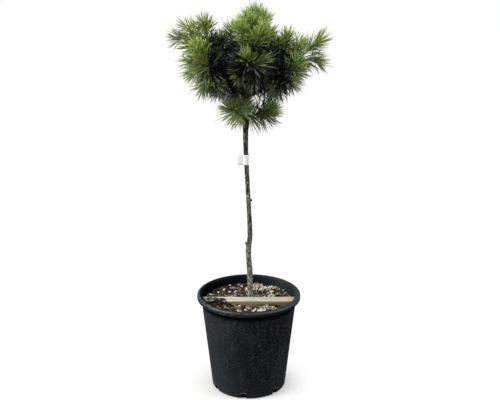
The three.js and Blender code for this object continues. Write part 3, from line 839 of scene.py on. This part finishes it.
def spray_tones(places, way, share, tone, rng):
    """A colour for each spray, with painted light and shade: bright high up, outside, on top and on the left,
    dark low down, inside and underneath.
    """
    height = np.clip((places[:, 2] - 800) / 280, 0, 1)
    from_middle = places - CROWN_MIDDLE
    reach = np.clip(np.linalg.norm(from_middle, axis=1) / CROWN_REACH, 0, 1)
    outward = (unit(from_middle) * way).sum(1)
    # painted light and shade: lighter high up, far out, facing up and out, and on the left side
    light = -0.27 + 0.1 * height + 0.58 * reach + 0.2 * share + 0.18 * way[:, 2] + 0.18 * outward + tone
    sunny = np.clip((SUNNY_SIDE - places[:, 0]) / 30, 0, 1)
    light = light + (OPEN_LIFT if tone < DEEP_INSIDE else SUNNY_LIFT) * sunny
    light = light + rng.normal(0, TONE_SPREAD, len(light))
    marks = DEEP - np.searchsorted(TONE_STEPS, light)
    underneath = way[:, 2] + rng.normal(0, 0.2, len(light)) < -0.05
    marks[underneath & (light > GREY_FROM)] = GREY
    # painted light: the pale tone on the lower left side, the top and the low left tuft
    marks[where_painted_light(places) & (light > PAINTED_LIGHT_FROM)] = PAINTED_LIGHT_TONE
    marks[where_hazy(places)] = GREY
    marks[rng.uniform(0, 1, len(marks)) < DRY_SHARE] = DRY
    return marks


def needle_room(name):
    """Corners of the room for a mass: a little over its solid's box, and never past the whole tree's."""
    low, high = (np.array(corner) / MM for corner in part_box(f"needles_{name}"))
    tree_low, tree_high = (np.array(corner) / MM for corner in cad_box)
    return np.maximum(low - OVER_BOX, tree_low + 1), np.minimum(high + OVER_BOX, tree_high - 1)


def mass_needles(plan):
    """All needles of a mass with the tone of each."""
    rng = np.random.default_rng(plan["seed"] * SEED_STEP)
    low, high = needle_room(plan["name"])
    limb_kinds = (LOW_WOOD,) if plan["name"].startswith("low") else (OLD_WOOD, INSIDE_BOUGH)
    limb_kinds += (UNDER_BOUGH,) if plan["name"] in DENSE_BELOW else ()
    wood = [(np.vstack((plan["limb"], plan["fork"])), BOUGH_TIP_RADIUS, *limb_kinds)]
    wood += [(path, TWIG_RADIUS, *kinds) for path, kinds in zip(plan["paths"], plan["kinds"])]
    for shoot, (kind, *_), branched in zip(plan["paths"], plan["kinds"], plan["branched"]):
        if branched:
            twiglet = (*TWIGLET[:-1], TWIGLET[-1] + kind[-1])
            wood += [(path, TWIGLET_RADIUS, twiglet) for path in twiglet_paths(shoot, rng)]
    rows = []
    for path, radius, *kinds in wood:
        for kind in kinds:
            sprays = bundles(path, kind, plan["needle"], radius, rng)
            crevice = -MINGLE if kind[:-1] in MINGLING else CREVICE
            rows.append((*sprays, np.full(len(sprays[0]), crevice)))
    twigs = [(path, radius) for path, radius, *_ in wood[1:]]
    roots, way, lengths, bend, tones, crevice = (np.concatenate(part) for part in zip(*rows))
    allowed = needles_in_space(roots, way, lengths, bend, crevice, plan["name"], low, high)
    keep = allowed > 0
    return (roots[keep], way[keep], allowed[keep], bend[keep], tones[keep]), twigs


def foliage(tones, twig):
    """Twigs, buds and needles of every mass."""
    wood = Gathered()
    for plan in PLANS:
        (roots, way, lengths, bend, marks), twigs = mass_needles(plan)
        gathered = Gathered()
        for mark in np.unique(marks):
            own = marks == mark
            gathered.add(*needle_shapes(roots[own], way[own], lengths[own], bend[own], NEEDLE_RADIUS), mark)
        made = gathered.piece(f"foliage_{plan['name']}", tones, "needles")
        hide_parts(f"needles_{plan['name']}")
        for line, radius in twigs:
            add_twig(wood, line, radius)
    wood.piece("twigs_and_buds", [twig], "bark")


def add_twig(wood, line, radius):
    """A tapering twig with a pointed bud at its end."""
    path = curve_through(line, np.linspace(0, len(line) - 1, 14))
    end = unit(path[-1] - path[-2])
    bud = path[-1] + end * np.linspace(0.5, 1, 5)[:, None] * radius * 5
    body = np.linspace(radius, radius * 0.62, 14)
    tip = radius * np.array((1.2, 1.4, 1.15, 0.6, 0.05))
    wood.add(*limb(np.vstack((path, bud)), np.concatenate((body, tip)), 8, 0.12 * radius, 2.2))


# Pot
def pot_radius(height):
    return POT_FOOT_RADIUS + (POT_NECK_RADIUS - POT_FOOT_RADIUS) * height / POT_NECK


def arc(centre_radius, centre_height, radius, start, end, steps):
    """Points of a round edge in the pot's profile, its angles in degrees."""
    angles = np.radians(np.linspace(start, end, steps))
    points = (centre_radius + radius * np.cos(angles), centre_height + radius * np.sin(angles))
    return np.column_stack(points)


def pot_profile():
    """Radius and height of the pot's section, from its underside's middle round the lip to its floor."""
    neck = POT_NECK
    inner = pot_radius(neck) - POT_WALL
    body = np.linspace(POT_CHAMFER, neck - 2.5, 26)
    inside = np.linspace(neck, POT_FLOOR + 3, 18)
    rows = [
        [(0.02, 0), (40, 0), (80, 0), (POT_FOOT_RADIUS - POT_CHAMFER - 1, 0)],
        arc(pot_radius(POT_CHAMFER) - POT_CHAMFER - 0.5, POT_CHAMFER, POT_CHAMFER, -80, -15, 4),
        np.column_stack((pot_radius(body), body)),
        arc(pot_radius(neck) + 2.2, neck - 2.4, 2.4, 180, 100, 4),
        arc(POT_LIP_RADIUS - 2, neck + 2, 2, -80, 0, 5),
        [(POT_LIP_RADIUS, neck + 3.4), (POT_LIP_RADIUS - LIP_GROOVE, neck + 4.6)],
        [(POT_LIP_RADIUS - LIP_GROOVE, neck + 5.4), (POT_LIP_RADIUS, neck + 7)],
        arc(POT_LIP_RADIUS - POT_LIP_ROLL, POT_HEIGHT - POT_LIP_ROLL, POT_LIP_ROLL, 5, 90, 9),
        [(POT_LIP_RADIUS - POT_LIP_ROLL - 3, POT_HEIGHT)],
        arc(inner + 3.2, POT_HEIGHT - 3.2, 3.2, 95, 178, 6),
        [(inner, neck + 3)],
        np.column_stack((pot_radius(inside) - POT_WALL, inside)),
        [(pot_radius(POT_FLOOR) - POT_WALL - 3, POT_FLOOR), (60, POT_FLOOR), (0.02, POT_FLOOR)],
    ]
    return np.vstack(rows)


def pot_wall_colour(finish, painted_light_side, smears, specks):
    """Black plastic, painted lighter and more smeared on its left side as painted light, with smears, dust
    and pale specks.
    """
    tall = (1, 1, 0.45)
    upper = finish.height().between(-0.05, 0.32)
    dots = (1 - finish.cells(620, tall).between(0.15, 0.55)) * finish.chance(620, tall).between(0.45, 0.8)
    patches = finish.cloud(11, (1, 1, 0.7), 3).between(0.35, 0.68)
    body = finish.mix(patches, (0.001, 0.002, 0.0025), (0.0035, 0.006, 0.007))
    # painted light: the wall's left side is painted lighter
    wall_with_painted_side_light = finish.mix(painted_light_side, body, (0.017, 0.022, 0.026))
    smeared = finish.mix(smears * (0.15 + 0.25 * upper + 0.3 * painted_light_side), wall_with_painted_side_light, (0.034, 0.045, 0.051))
    dusted = finish.mix(dots * (0.2 + 0.35 * patches), smeared, (0.12, 0.15, 0.16))
    return finish.mix(specks * (0.2 + 0.25 * upper), dusted, (0.25, 0.3, 0.31))


def pot_inner_colour(finish, painted_light_side):
    # Painted light and shade on the inner wall: lighter towards +x where light falls in, near black on the
    # left
    lit = finish.axis(0).between(0.02, 0.125)
    unlit = finish.mix(painted_light_side, (0.011, 0.015, 0.018), (0.001, 0.0015, 0.002))
    return finish.mix(lit, unlit, (0.034, 0.041, 0.045))


def pot_inside(finish, lip):
    """1 on the pot's inner face, told by its distance from the pot's axis."""
    flat = finish.place((1, 1, 0))
    radius = finish.node("ShaderNodeVectorMath", {"operation": "LENGTH"}, {0: flat}, "Value")
    taper = (POT_NECK_RADIUS - POT_FOOT_RADIUS) / POT_NECK
    past_wall = radius - (POT_FOOT_RADIUS * MM + taper * finish.height()) - 0.0045 * lip
    return 1 - past_wall.between(-0.0018, -0.0006)


def pot_finish():
    finish = Finish("black_nursery_plastic")
    tall = (1, 1, 0.45)
    neck = POT_NECK * MM
    # painted light: 1 on the pot's left side, where the wall and the lip's edge are painted lighter and the
    # inner wall darker as painted shade
    painted_light_side = finish.axis(0).between(0.05, -0.13)
    specks = (1 - finish.cells(330, tall).between(0.1, 0.42)) * finish.chance(330, tall).between(0.5, 0.98)
    smears = finish.cloud(75, (1, 1, 0.22), 5, 0.65).between(0.48, 0.72)
    scraped = finish.cloud(70, (1, 1, 3), 3).between(0.3, 0.75)
    lip = finish.height().between(neck - 0.0016, neck + 0.0004)
    # painted highlight: the top of the lip's roll
    rim_painted_highlight = finish.height().between(neck + 0.0044, neck + 0.0094)
    # painted shadow: the band of wall just under the lip is painted near black, and its coat is weakened
    # there
    lip_shadow_band = finish.height().between(neck - 0.0281, neck - 0.0101) * (1 - lip)
    inside = pot_inside(finish, lip)
    wall = pot_wall_colour(finish, painted_light_side, smears, specks)
    wall_with_painted_lip_shadow = finish.mix(lip_shadow_band * 0.94, wall, (0.0003, 0.0005, 0.0006))
    # The lip's edge: scraped wear, lighter on the lip's top roll as a painted highlight and on the left side
    # as painted light
    wear_and_painted_light = scraped * (0.04 + 0.35 * rim_painted_highlight + 0.6 * painted_light_side)
    edge = finish.mix(wear_and_painted_light, (0.002, 0.004, 0.006), (0.07, 0.09, 0.1))
    outer = finish.mix(lip, wall_with_painted_lip_shadow, edge)
    colour = finish.mix(inside, outer, pot_inner_colour(finish, painted_light_side))
    roughness = 0.5 + 0.14 * smears - 0.22 * lip
    relief = finish.cloud(700, detail=2) * 0.5 + specks * 0.6 + smears * 0.3
    # Coat: even gloss, plus painted sheen on the left side and the lip's top roll, weakened inside and under
    # the lip as painted shade
    coat_with_painted_sheen = (0.2 + 0.12 * painted_light_side + lip * (0.04 + 0.8 * rim_painted_highlight)) * (1 - 0.85 * inside) * (1 - 0.85 * lip_shadow_band)
    coat = {"Coat Weight": coat_with_painted_sheen, "Coat Roughness": 0.45}
    return finish.done(colour, roughness, 0.0, Normal=finish.bump(relief, 0.3, 0.3), **coat)


def bead_finish():
    finish = Finish("worn_plastic_painted_highlight")
    # The bead is painted much lighter than the pot, a painted highlight along the slot's edge, mottled by
    # scraped wear
    scraped = finish.cloud(240, detail=4).between(0.35, 0.65)
    colour = finish.mix(scraped, (0.03, 0.037, 0.04), (0.13, 0.15, 0.155))
    return finish.done(colour, 0.45, 0.3, Normal=finish.bump(scraped, 0.3, 0.3))


def slot_outline(grow=0.0):
    """Arched outline of a drainage slot: places to the side and heights."""
    half = SLOT_WIDTH / 2 + grow
    top = arc(0, 0, half, 0, 180, 13) * (1, SLOT_ARCH)
    top[:, 1] += SLOT_HEIGHT - half * SLOT_ARCH
    return np.vstack(([(half, -2)], top, [(-half, -2)]))


def slot_cutter(turn):
    outline = slot_outline()
    count = len(outline)
    ring = [np.column_stack((outline[:, 0], np.full(count, -y), outline[:, 1])) for y in (125, 85)]
    mesh = bpy.data.meshes.new("slot_cutter")
    sides = [(count + i, count + (i + 1) % count, (i + 1) % count, i) for i in range(count)]
    caps = [tuple(range(count)), tuple(range(count, 2 * count))[::-1]]
    points = np.vstack(ring) @ turned(turn).T * MM
    mesh.from_pydata(points.tolist(), [], [*sides, *caps])
    cutter = bpy.data.objects.new("slot_cutter", mesh)
    bpy.context.scene.collection.objects.link(cutter)
    return cutter


def turned(turn):
    """Matrix that turns points about the upright axis, in radians."""
    return np.array((
        (math.cos(turn), -math.sin(turn), 0),
        (math.sin(turn), math.cos(turn), 0),
        (0, 0, 1),
    ))


def slot_bead(turn):
    """Raised bead that frames a slot's arch."""
    outline = slot_outline(SLOT_BEAD * 0.7)[1:-1]
    radius = pot_radius(outline[:, 1]) + 0.1
    depth = -np.sqrt(radius**2 - outline[:, 0] ** 2)
    path = np.column_stack((outline[:, 0], depth, outline[:, 1])) @ turned(turn).T
    return limb(path, np.full(len(path), SLOT_BEAD), 8)


def pot():
    finish = pot_finish()
    profile = pot_profile()
    angles = np.arange(POT_SIDES) * 2 * math.pi / POT_SIDES
    points = np.stack((
        profile[:, :1] * np.cos(angles),
        profile[:, :1] * np.sin(angles),
        np.repeat(profile[:, 1:], POT_SIDES, axis=1),
    ), axis=-1).reshape(-1, 3)
    shell = piece("pot_shell", points, ring_faces(len(profile), POT_SIDES), [finish], "pot")
    cutters = []
    beads = Gathered()
    for i in range(SLOTS):
        turn = math.radians(SLOT_TURN + 90 + 360 * i / SLOTS)
        cutters.append(slot_cutter(turn))
        cut = shell.modifiers.new("slot", "BOOLEAN")
        cut.object = cutters[-1]
        cut.solver = "EXACT"
        beads.add(*slot_bead(turn))
    applied(shell)
    for cutter in cutters:
        bpy.data.objects.remove(cutter)
    shell.data.polygons.foreach_set("use_smooth", np.ones(len(shell.data.polygons), bool))
    shell.data.set_sharp_from_angle(angle=math.radians(38))
    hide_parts("pot")
    beads.piece("pot_slot_beads", [bead_finish()], "pot")


# Compost
def soil_height(x, y):
    """Height of the compost's top: uneven, heaped before the batten, level where the stem stands."""
    away = smooth_step(np.hypot(x - TRUNK_ROWS[0, 1], y - TRUNK_ROWS[0, 2]), SEAT_RADIUS, SEAT_SHOULDER)
    heap = HEAP_HEIGHT * np.exp(-((np.hypot(x - HEAP_PLACE[0], y - HEAP_PLACE[1]) / HEAP_RADIUS) ** 2))
    wave = np.sin(x / SOIL_SWELL_LENGTH + 1) * np.cos(y / SOIL_SWELL_LENGTH)
    return SOIL_HEIGHT + away * (heap + SOIL_SWELL * wave)


def soil_finish():
    finish = Finish("dark_bark_compost")
    crumbs = finish.cells(260)
    tone = finish.cloud(95, detail=6, rough=0.7)
    earth = finish.ramp(
        tone,
        (0.3, (0.004, 0.003, 0.0025)),
        (0.5, (0.017, 0.012, 0.009)),
        (0.7, (0.06, 0.045, 0.031)),
    )
    crumbly = finish.mix(crumbs.between(0.1, 0.6) * 0.6, earth, (0.009, 0.006, 0.004))
    # Painted shade: the compost is painted near black below 3 to 5 cm, where it is seen through the drainage
    # slots
    above = finish.height().between(0.03, 0.05)
    colour = finish.mix(above, (0.001, 0.001, 0.001), crumbly)
    return finish.done(colour, 0.95, 0.0, Normal=finish.bump(tone + crumbs, 1, 2.2))


def chip_finish():
    finish = Finish("pine_bark_chips")
    kind = finish.chance(75)
    grain = finish.cloud(340, (1, 1, 2.5), 4)
    tone = finish.ramp(
        kind,
        (0.0, (0.006, 0.0045, 0.0035)),
        (0.45, (0.027, 0.019, 0.013)),
        (0.7, (0.105, 0.077, 0.052)),
        (0.84, (0.27, 0.22, 0.165)),
        (1.0, (0.5, 0.45, 0.35)),
    )
    colour = finish.mix(grain.between(0.35, 0.65) * 0.65, tone, (0.012, 0.009, 0.006))
    return finish.done(colour, 0.9, 0.15, Normal=finish.bump(grain, 0.8, 0.8))


def pumice_finish():
    finish = Finish("cream_pumice")
    kind = finish.chance(95)
    pores = finish.cells(700)
    tone = finish.ramp(
        kind,
        (0.0, (0.32, 0.27, 0.19)),
        (0.35, (0.6, 0.56, 0.46)),
        (1.0, (0.88, 0.87, 0.82)),
    )
    colour = finish.mix(1 - pores.between(0.05, 0.3), tone, (0.24, 0.2, 0.14))
    return finish.done(colour, 0.9, 0.2, Normal=finish.bump(pores, 0.7, 0.6))


def soil_body():
    """Compost that fills the pot, with a crumbled top and a bed for the batten."""
    edge = pot_radius(SOIL_HEIGHT) - POT_WALL - SOIL_CLEAR
    foot = POT_FLOOR + SOIL_CLEAR
    walls = [(0.02, foot), (60, foot)]
    walls += [(pot_radius(h) - POT_WALL - SOIL_CLEAR, h) for h in (foot, 60, 120, 180, 220, 245)]
    top = [(edge * part, SOIL_HEIGHT) for part in np.linspace(1, 0.0002, 66)]
    profile = np.array(walls + top)
    angles = np.arange(SOIL_SIDES) * 2 * math.pi / SOIL_SIDES
    x = profile[:, :1] * np.cos(angles)
    y = profile[:, :1] * np.sin(angles)
    z = np.repeat(profile[:, 1:], SOIL_SIDES, axis=1)
    on_top = np.zeros(len(profile), bool)
    on_top[len(walls) + 1:] = True
    surface = np.stack((x, y, z), axis=-1)[on_top].reshape(-1, 3)
    lumps = rough(surface, 6) + 0.6 * rough(surface, 2.6, seed=4.2)
    height = soil_height(surface[:, 0], surface[:, 1]) + SOIL_RELIEF * lumps
    in_bed = (surface[:, 1] > BATTEN_FRONT - 0.6) & (surface[:, 1] < BATTEN_BACK + 0.6)
    height[in_bed] = np.minimum(height[in_bed], BATTEN_TOP - BATTEN_THICKNESS - 0.5)
    z[on_top] = height.reshape(-1, SOIL_SIDES)
    points = np.stack((x, y, z), axis=-1).reshape(-1, 3)
    made = piece("compost", points, ring_faces(len(profile), SOIL_SIDES), [soil_finish()], "soil")
    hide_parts("soil")


def turns(rng, count, tilt):
    """Matrices that turn shapes anyhow in plan and tilt them up to an angle in degrees."""
    yaw = rng.uniform(0, 2 * math.pi, count)
    pitch, roll = np.radians(rng.uniform(-tilt, tilt, (2, count)))
    flat = np.zeros(count)
    one = np.ones(count)
    about_z = np.array((
        (np.cos(yaw), -np.sin(yaw), flat),
        (np.sin(yaw), np.cos(yaw), flat),
        (flat, flat, one),
    ))
    about_y = np.array((
        (np.cos(pitch), flat, np.sin(pitch)),
        (flat, one, flat),
        (-np.sin(pitch), flat, np.cos(pitch)),
    ))
    about_x = np.array((
        (one, flat, flat),
        (flat, np.cos(roll), -np.sin(roll)),
        (flat, np.sin(roll), np.cos(roll)),
    ))
    z, y, x = (np.moveaxis(turning, 2, 0) for turning in (about_z, about_y, about_x))
    return z @ y @ x


def free_places(rng, count, half, spots=()):
    """Places on the compost, each half its own length clear of the pot's wall, the batten and the stem."""
    found = []
    while len(found) < count:
        if spots and rng.uniform() < SPOT_SHARE:
            x0, y0, spread_x, spread_y = spots[rng.integers(len(spots))]
            x, y = x0 + rng.normal() * spread_x, y0 + rng.normal() * spread_y
        else:
            radius, turn = (SOIL_EDGE - 1) * math.sqrt(rng.uniform()), rng.uniform(0, 2 * math.pi)
            x, y = radius * math.cos(turn), radius * math.sin(turn)
        room = half[len(found)]
        beside = y < BATTEN_FRONT - room * 0.7 or y > BATTEN_BACK + room * 0.7
        clear = math.hypot(x - TRUNK_ROWS[0, 1], y - TRUNK_ROWS[0, 2]) > 10 + room
        if math.hypot(x, y) < SOIL_EDGE - room and beside and clear:
            found.append((x, y))
    return np.array(found)


def bark_chips():
    rng = np.random.default_rng(41)
    length = rng.uniform(5, 17, CHIPS) * rng.uniform(0.75, 1.15, CHIPS)
    size = np.column_stack((length, length * rng.uniform(0.4, 0.8, CHIPS), rng.uniform(1.3, 3.4, CHIPS)))
    angles = np.arange(6) * math.pi / 3
    outline = np.column_stack((np.cos(angles), np.sin(angles))) / 2
    shape = np.stack([
        np.column_stack((outline * spread, np.full(6, z))) for z, spread in ((-0.5, 0.86), (0.5, 1))
    ]).reshape(12, 3)
    points = (shape + rng.uniform(-0.11, 0.11, (CHIPS, 12, 3))) * size[:, None]
    points = np.einsum("nij,nkj->nki", turns(rng, CHIPS, 32), points)
    places = free_places(rng, CHIPS, length / 2)
    heaped = np.exp(-((np.hypot(*(places - HEAP_PLACE).T) / HEAP_RADIUS) ** 2))
    height = soil_height(*places.T) + rng.uniform(0, 1, CHIPS) * (3 + 5 * heaped) + 0.2
    spilled = slice(0, SPILLED_CHIPS)
    places[spilled] = np.column_stack((
        -64 - 54 * rng.uniform(0, 1, SPILLED_CHIPS) ** 0.7,
        BATTEN_FRONT + 24 * rng.uniform(0, 1, SPILLED_CHIPS) ** 2.2,
    ))
    height[spilled] = BATTEN_TOP + rng.uniform(0, 1.5, SPILLED_CHIPS)
    points += np.column_stack((places, height))[:, None]
    sides = [(i, (i + 1) % 6, 6 + (i + 1) % 6, 6 + i) for i in range(6)]
    faces = np.array([*sides, (3, 2, 1, 0), (5, 4, 3, 0), (6, 7, 8, 9), (6, 9, 10, 11)])
    faces = faces + (np.arange(CHIPS) * 12)[:, None, None]
    piece("bark_chips", points.reshape(-1, 3), faces.reshape(-1, 4), [chip_finish()], "soil", False)


def pumice_grains():
    rng = np.random.default_rng(77)
    ball = bpy.data.meshes.new("ball")
    shape = bmesh.new()
    bmesh.ops.create_icosphere(shape, subdivisions=1, radius=1)
    shape.to_mesh(ball)
    unit_points = np.array([v.co for v in ball.vertices])
    unit_faces = np.array([p.vertices for p in ball.polygons])
    shape.free()
    bpy.data.meshes.remove(ball)
    count = len(unit_points)
    radius = 1.5 + 3.7 * rng.uniform(0, 1, GRAINS) ** 1.7
    size = radius[:, None] * rng.uniform(0.72, 1.12, (GRAINS, 3))
    points = unit_points * (1 + rng.uniform(-0.14, 0.14, (GRAINS, count, 1))) * size[:, None]
    points = np.einsum("nij,nkj->nki", turns(rng, GRAINS, 90), points)
    places = free_places(rng, GRAINS, radius, GRAIN_SPOTS)
    height = soil_height(*places.T) + rng.uniform(1.2, 4.6, GRAINS)
    points += np.column_stack((places, height))[:, None]
    faces = unit_faces + (np.arange(GRAINS) * count)[:, None, None]
    piece("pumice_grains", points.reshape(-1, 3), faces.reshape(-1, 3), [pumice_finish()], "soil")


def dry_needles(straw):
    rng = np.random.default_rng(9)
    lengths = rng.uniform(18, 42, DRY_NEEDLES)
    places = free_places(rng, DRY_NEEDLES, lengths / 2)
    turn = rng.uniform(0, 2 * math.pi, DRY_NEEDLES)
    way = unit(np.column_stack((np.cos(turn), np.sin(turn), rng.uniform(-0.06, 0.1, DRY_NEEDLES))))
    sideways = np.column_stack((-np.sin(turn), np.cos(turn), turn * 0))
    bend = sideways * rng.uniform(-0.2, 0.2, (DRY_NEEDLES, 1))
    height = soil_height(*places.T) + rng.uniform(2.6, 5, DRY_NEEDLES)
    roots = np.column_stack((places, height)) - way * lengths[:, None] / 2
    points, faces = needle_shapes(roots, way, lengths, bend, 0.55)
    piece("dry_needles", points, faces, [straw], "soil")


# Batten
def batten_finish():
    finish = Finish("weathered_batten")
    grain = finish.cloud(60, (0.12, 3.2, 3.2), 6, 0.62)
    fibres = finish.cloud(260, (0.06, 2, 2), 3)
    stain = finish.cloud(26, (0.8, 1, 1), 4, 0.65).between(0.46, 0.66)
    top = finish.height().between(BATTEN_TOP * MM - 0.0035, BATTEN_TOP * MM - 0.0005)
    pale = finish.ramp(
        grain,
        (0.34, (0.2, 0.17, 0.12)),
        (0.48, (0.52, 0.49, 0.39)),
        (0.64, (0.78, 0.75, 0.65)),
    )
    side = finish.ramp(grain, (0.3, (0.16, 0.12, 0.052)), (0.7, (0.42, 0.33, 0.175)))
    clean = finish.mix(top, side, pale)
    left_end = finish.axis(0).between(-0.05, -0.125)
    rotten = left_end * finish.cloud(75, (0.45, 1.6, 1.6), 5, 0.65).between(0.3, 0.5)
    colour = finish.mix(stain * 0.22 + rotten * 0.5, clean, (0.19, 0.155, 0.115))
    return finish.done(colour, 0.85, 0.25, Normal=finish.bump(grain + 0.5 * fibres, 0.7, 0.8))


def batten_section():
    """Places to the back and heights of the batten's upper half section, its edges rounded."""
    corner = np.sin(np.linspace(0, math.pi / 2, 4)) * BATTEN_ROUND
    drop = BATTEN_ROUND - np.cos(np.linspace(math.pi / 2, 0, 4)) * BATTEN_ROUND
    flat = np.linspace(BATTEN_FRONT + BATTEN_ROUND, BATTEN_BACK - BATTEN_ROUND, 31)
    back = np.concatenate((flat[0] - corner[::-1], flat, flat[-1] + corner))
    return back, np.concatenate((drop, np.zeros(len(flat)), drop[::-1]))


def batten():
    """A sawn batten with rounded edges. Its ends follow the pot's wall and the left one is split."""
    base = BATTEN_TOP - BATTEN_THICKNESS
    wall = pot_radius(base) - POT_WALL - BATTEN_CLEAR
    y_top, z_drop = batten_section()
    notch = np.zeros(len(y_top))
    for part, depth in BATTEN_SPLITS:
        middle = BATTEN_FRONT + (BATTEN_BACK - BATTEN_FRONT) * part
        notch = np.maximum(notch, depth * np.clip(1 - np.abs(y_top - middle) / 3.4, 0, 1) ** 0.7)
    right = np.sqrt(wall**2 - y_top**2)
    left = notch - right
    steps = np.concatenate((np.linspace(0, 0.06, 10)[:-1], np.linspace(0.06, 0.97, 120), (0.985, 1)))
    loop_y = np.concatenate((y_top, y_top[::-1]))
    loop_z = np.concatenate((BATTEN_TOP - z_drop, (base + z_drop)[::-1]))
    loop_left = np.concatenate((left, left[::-1]))
    loop_right = np.concatenate((right, right[::-1]))
    x = loop_left + (loop_right - loop_left) * steps[:, None]
    rings = [np.tile(row, (len(steps), 1)) for row in (loop_y, loop_z)]
    points = np.stack((x, *rings), axis=-1).reshape(-1, 3)
    points[:, 2] -= 0.28 * np.abs(rough(points * (0.08, 1, 1), 2.4, seed=2.0))
    sides = len(loop_y)
    cap = np.array([(i, i + 1, sides - 2 - i, sides - 1 - i) for i in range(len(y_top) - 1)])
    last = (len(steps) - 1) * sides
    faces = np.vstack((ring_faces(len(steps), sides), cap, cap[:, ::-1] + last))
    made = piece("sawn_batten", points, faces, [batten_finish()], "batten", False)
    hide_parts("batten")


# Tag
def tag_finish():
    finish = Finish("blank_white_tag")
    fibres = finish.cloud(900, detail=3)
    dusty = finish.cloud(60, detail=3).between(0.35, 0.75) * 0.4
    colour = finish.mix(dusty, (0.95, 0.95, 0.94), (0.84, 0.84, 0.82))
    return finish.done(colour, 0.42 + 0.1 * fibres, 0.4, Normal=finish.bump(fibres, 0.2, 0.1))


def tag():
    """A paper strip round the stem, its two ends pressed together as a slightly curled flag."""
    middle, radius = trunk_at(TAG_HEIGHT + TAG_WIDTH / 2)
    foot, _ = trunk_at(TAG_HEIGHT)
    sleeve = radius + abs(foot[0] - middle[0]) + 0.7
    angles = np.linspace(math.pi + 0.06, 3 * math.pi - 0.06, 60)
    round_stem = np.column_stack((sleeve * np.cos(angles), sleeve * np.sin(angles)))
    out = np.linspace(0, 1, 14)[1:]
    curl = -TAG_CURL * out**2
    front = np.column_stack((-sleeve - TAG_FLAG * out, -0.28 - curl))
    back = np.column_stack((-sleeve - TAG_FLAG * out, 0.28 - curl))
    plan = np.vstack((front[::-1], round_stem, back))
    rows = np.linspace(0, TAG_WIDTH, 9)
    points = np.empty((len(rows), len(plan), 3))
    points[..., :2] = plan + middle[:2]
    points[..., 2] = TAG_HEIGHT + rows[:, None]
    points[..., 1] -= 0.5 * np.sin(rows / TAG_WIDTH * 3)[:, None] * np.linspace(1, 0, len(plan)) ** 6
    k, i = np.meshgrid(np.arange(len(rows) - 1), np.arange(len(plan) - 1), indexing="ij")
    here = k * len(plan) + i
    faces = np.stack((here, here + 1, here + 1 + len(plan), here + len(plan)), axis=-1).reshape(-1, 4)
    made = piece("paper_tag", points.reshape(-1, 3), faces, [tag_finish()], "tag")
    sheet = made.modifiers.new("paper", "SOLIDIFY")
    sheet.thickness = TAG_PAPER * MM
    sheet.offset = 0
    applied(made)
    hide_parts("tag")


# Studio
def area_light(name, place, size, power, colour):
    lamp = bpy.data.lights.new(name, "AREA")
    lamp.shape = "DISK"
    lamp.size = size
    lamp.energy = power
    lamp.color = colour
    made = bpy.data.objects.new(name, lamp)
    made.location = place
    made.rotation_euler = (Vector(LIT_POINT) - Vector(place)).to_track_quat("-Z", "Y").to_euler()
    bpy.context.scene.collection.objects.link(made)


def floor():
    """Plain pale floor that fades into the white background."""
    finish = Finish("pale_floor")
    reach = finish.node("ShaderNodeVectorMath", {"operation": "LENGTH"}, {0: finish.place()}, "Value")
    seen = 1 - reach.between(FLOOR_FADE, FLOOR_REACH)
    paint = finish.node("ShaderNodeBsdfDiffuse", {}, {"Color": (0.9, 0.9, 0.9, 1)})
    clear = finish.node("ShaderNodeBsdfTransparent", {}, {})
    finish.connect(finish.node("ShaderNodeMixShader", {}, {0: seen, 1: clear, 2: paint}))
    angles = np.arange(64) * 2 * math.pi / 64
    rings = [np.column_stack((np.cos(angles), np.sin(angles), angles * 0)) * r for r in (0.02, 300, 640)]
    made = piece("floor", np.vstack(rings), ring_faces(3, 64), [finish.material], None)


def background():
    """White to look at, and a soft even light on the tree."""
    world = bpy.data.worlds.new("studio")
    world.use_nodes = True
    bpy.context.scene.world = world
    nodes, links = world.node_tree.nodes, world.node_tree.links
    nodes.clear()
    seen, light = nodes.new("ShaderNodeBackground"), nodes.new("ShaderNodeBackground")
    seen.inputs["Strength"].default_value = BACKGROUND_SEEN
    light.inputs["Strength"].default_value = BACKGROUND_LIGHT
    for shade in (seen, light):
        shade.inputs["Color"].default_value = (1, 1, 1, 1)
    mix = nodes.new("ShaderNodeMixShader")
    links.new(nodes.new("ShaderNodeLightPath").outputs["Is Camera Ray"], mix.inputs[0])
    links.new(light.outputs[0], mix.inputs[1])
    links.new(seen.outputs[0], mix.inputs[2])
    links.new(mix.outputs[0], nodes.new("ShaderNodeOutputWorld").inputs["Surface"])


def studio():
    background()
    floor()
    area_light("key", KEY_PLACE, KEY_SIZE, KEY_POWER, (1, 0.98, 0.95))
    area_light("top", TOP_PLACE, TOP_SIZE, TOP_POWER, (1, 1, 1))
    area_light("right", RIGHT_PLACE, RIGHT_SIZE, RIGHT_POWER, (0.95, 0.98, 1))
    bpy.context.scene.view_settings.view_transform = "Standard"


def camera():
    lens = bpy.data.cameras.new("camera")
    lens.lens = CAMERA_LENS
    made = bpy.data.objects.new("camera", lens)
    made.location = CAMERA_PLACE
    made.rotation_euler = (math.radians(CAMERA_TILT), 0, 0)
    bpy.context.scene.collection.objects.link(made)
    bpy.context.scene.camera = made


def needle_tone(name, colour):
    shine = 0.1 if name == "deep" else 0.42
    return Finish(f"needles_{name}").done(colour, 0.38, shine)


camera()
studio()
tones = [needle_tone(name, colour) for name, colour in TONES.items()]
bark = bark_finish()
pot()
soil_body()
bark_chips()
pumice_grains()
dry_needles(tones[-1])
batten()
tag()
stem(bark)
boughs(bark)
foliage(tones, twig_finish())
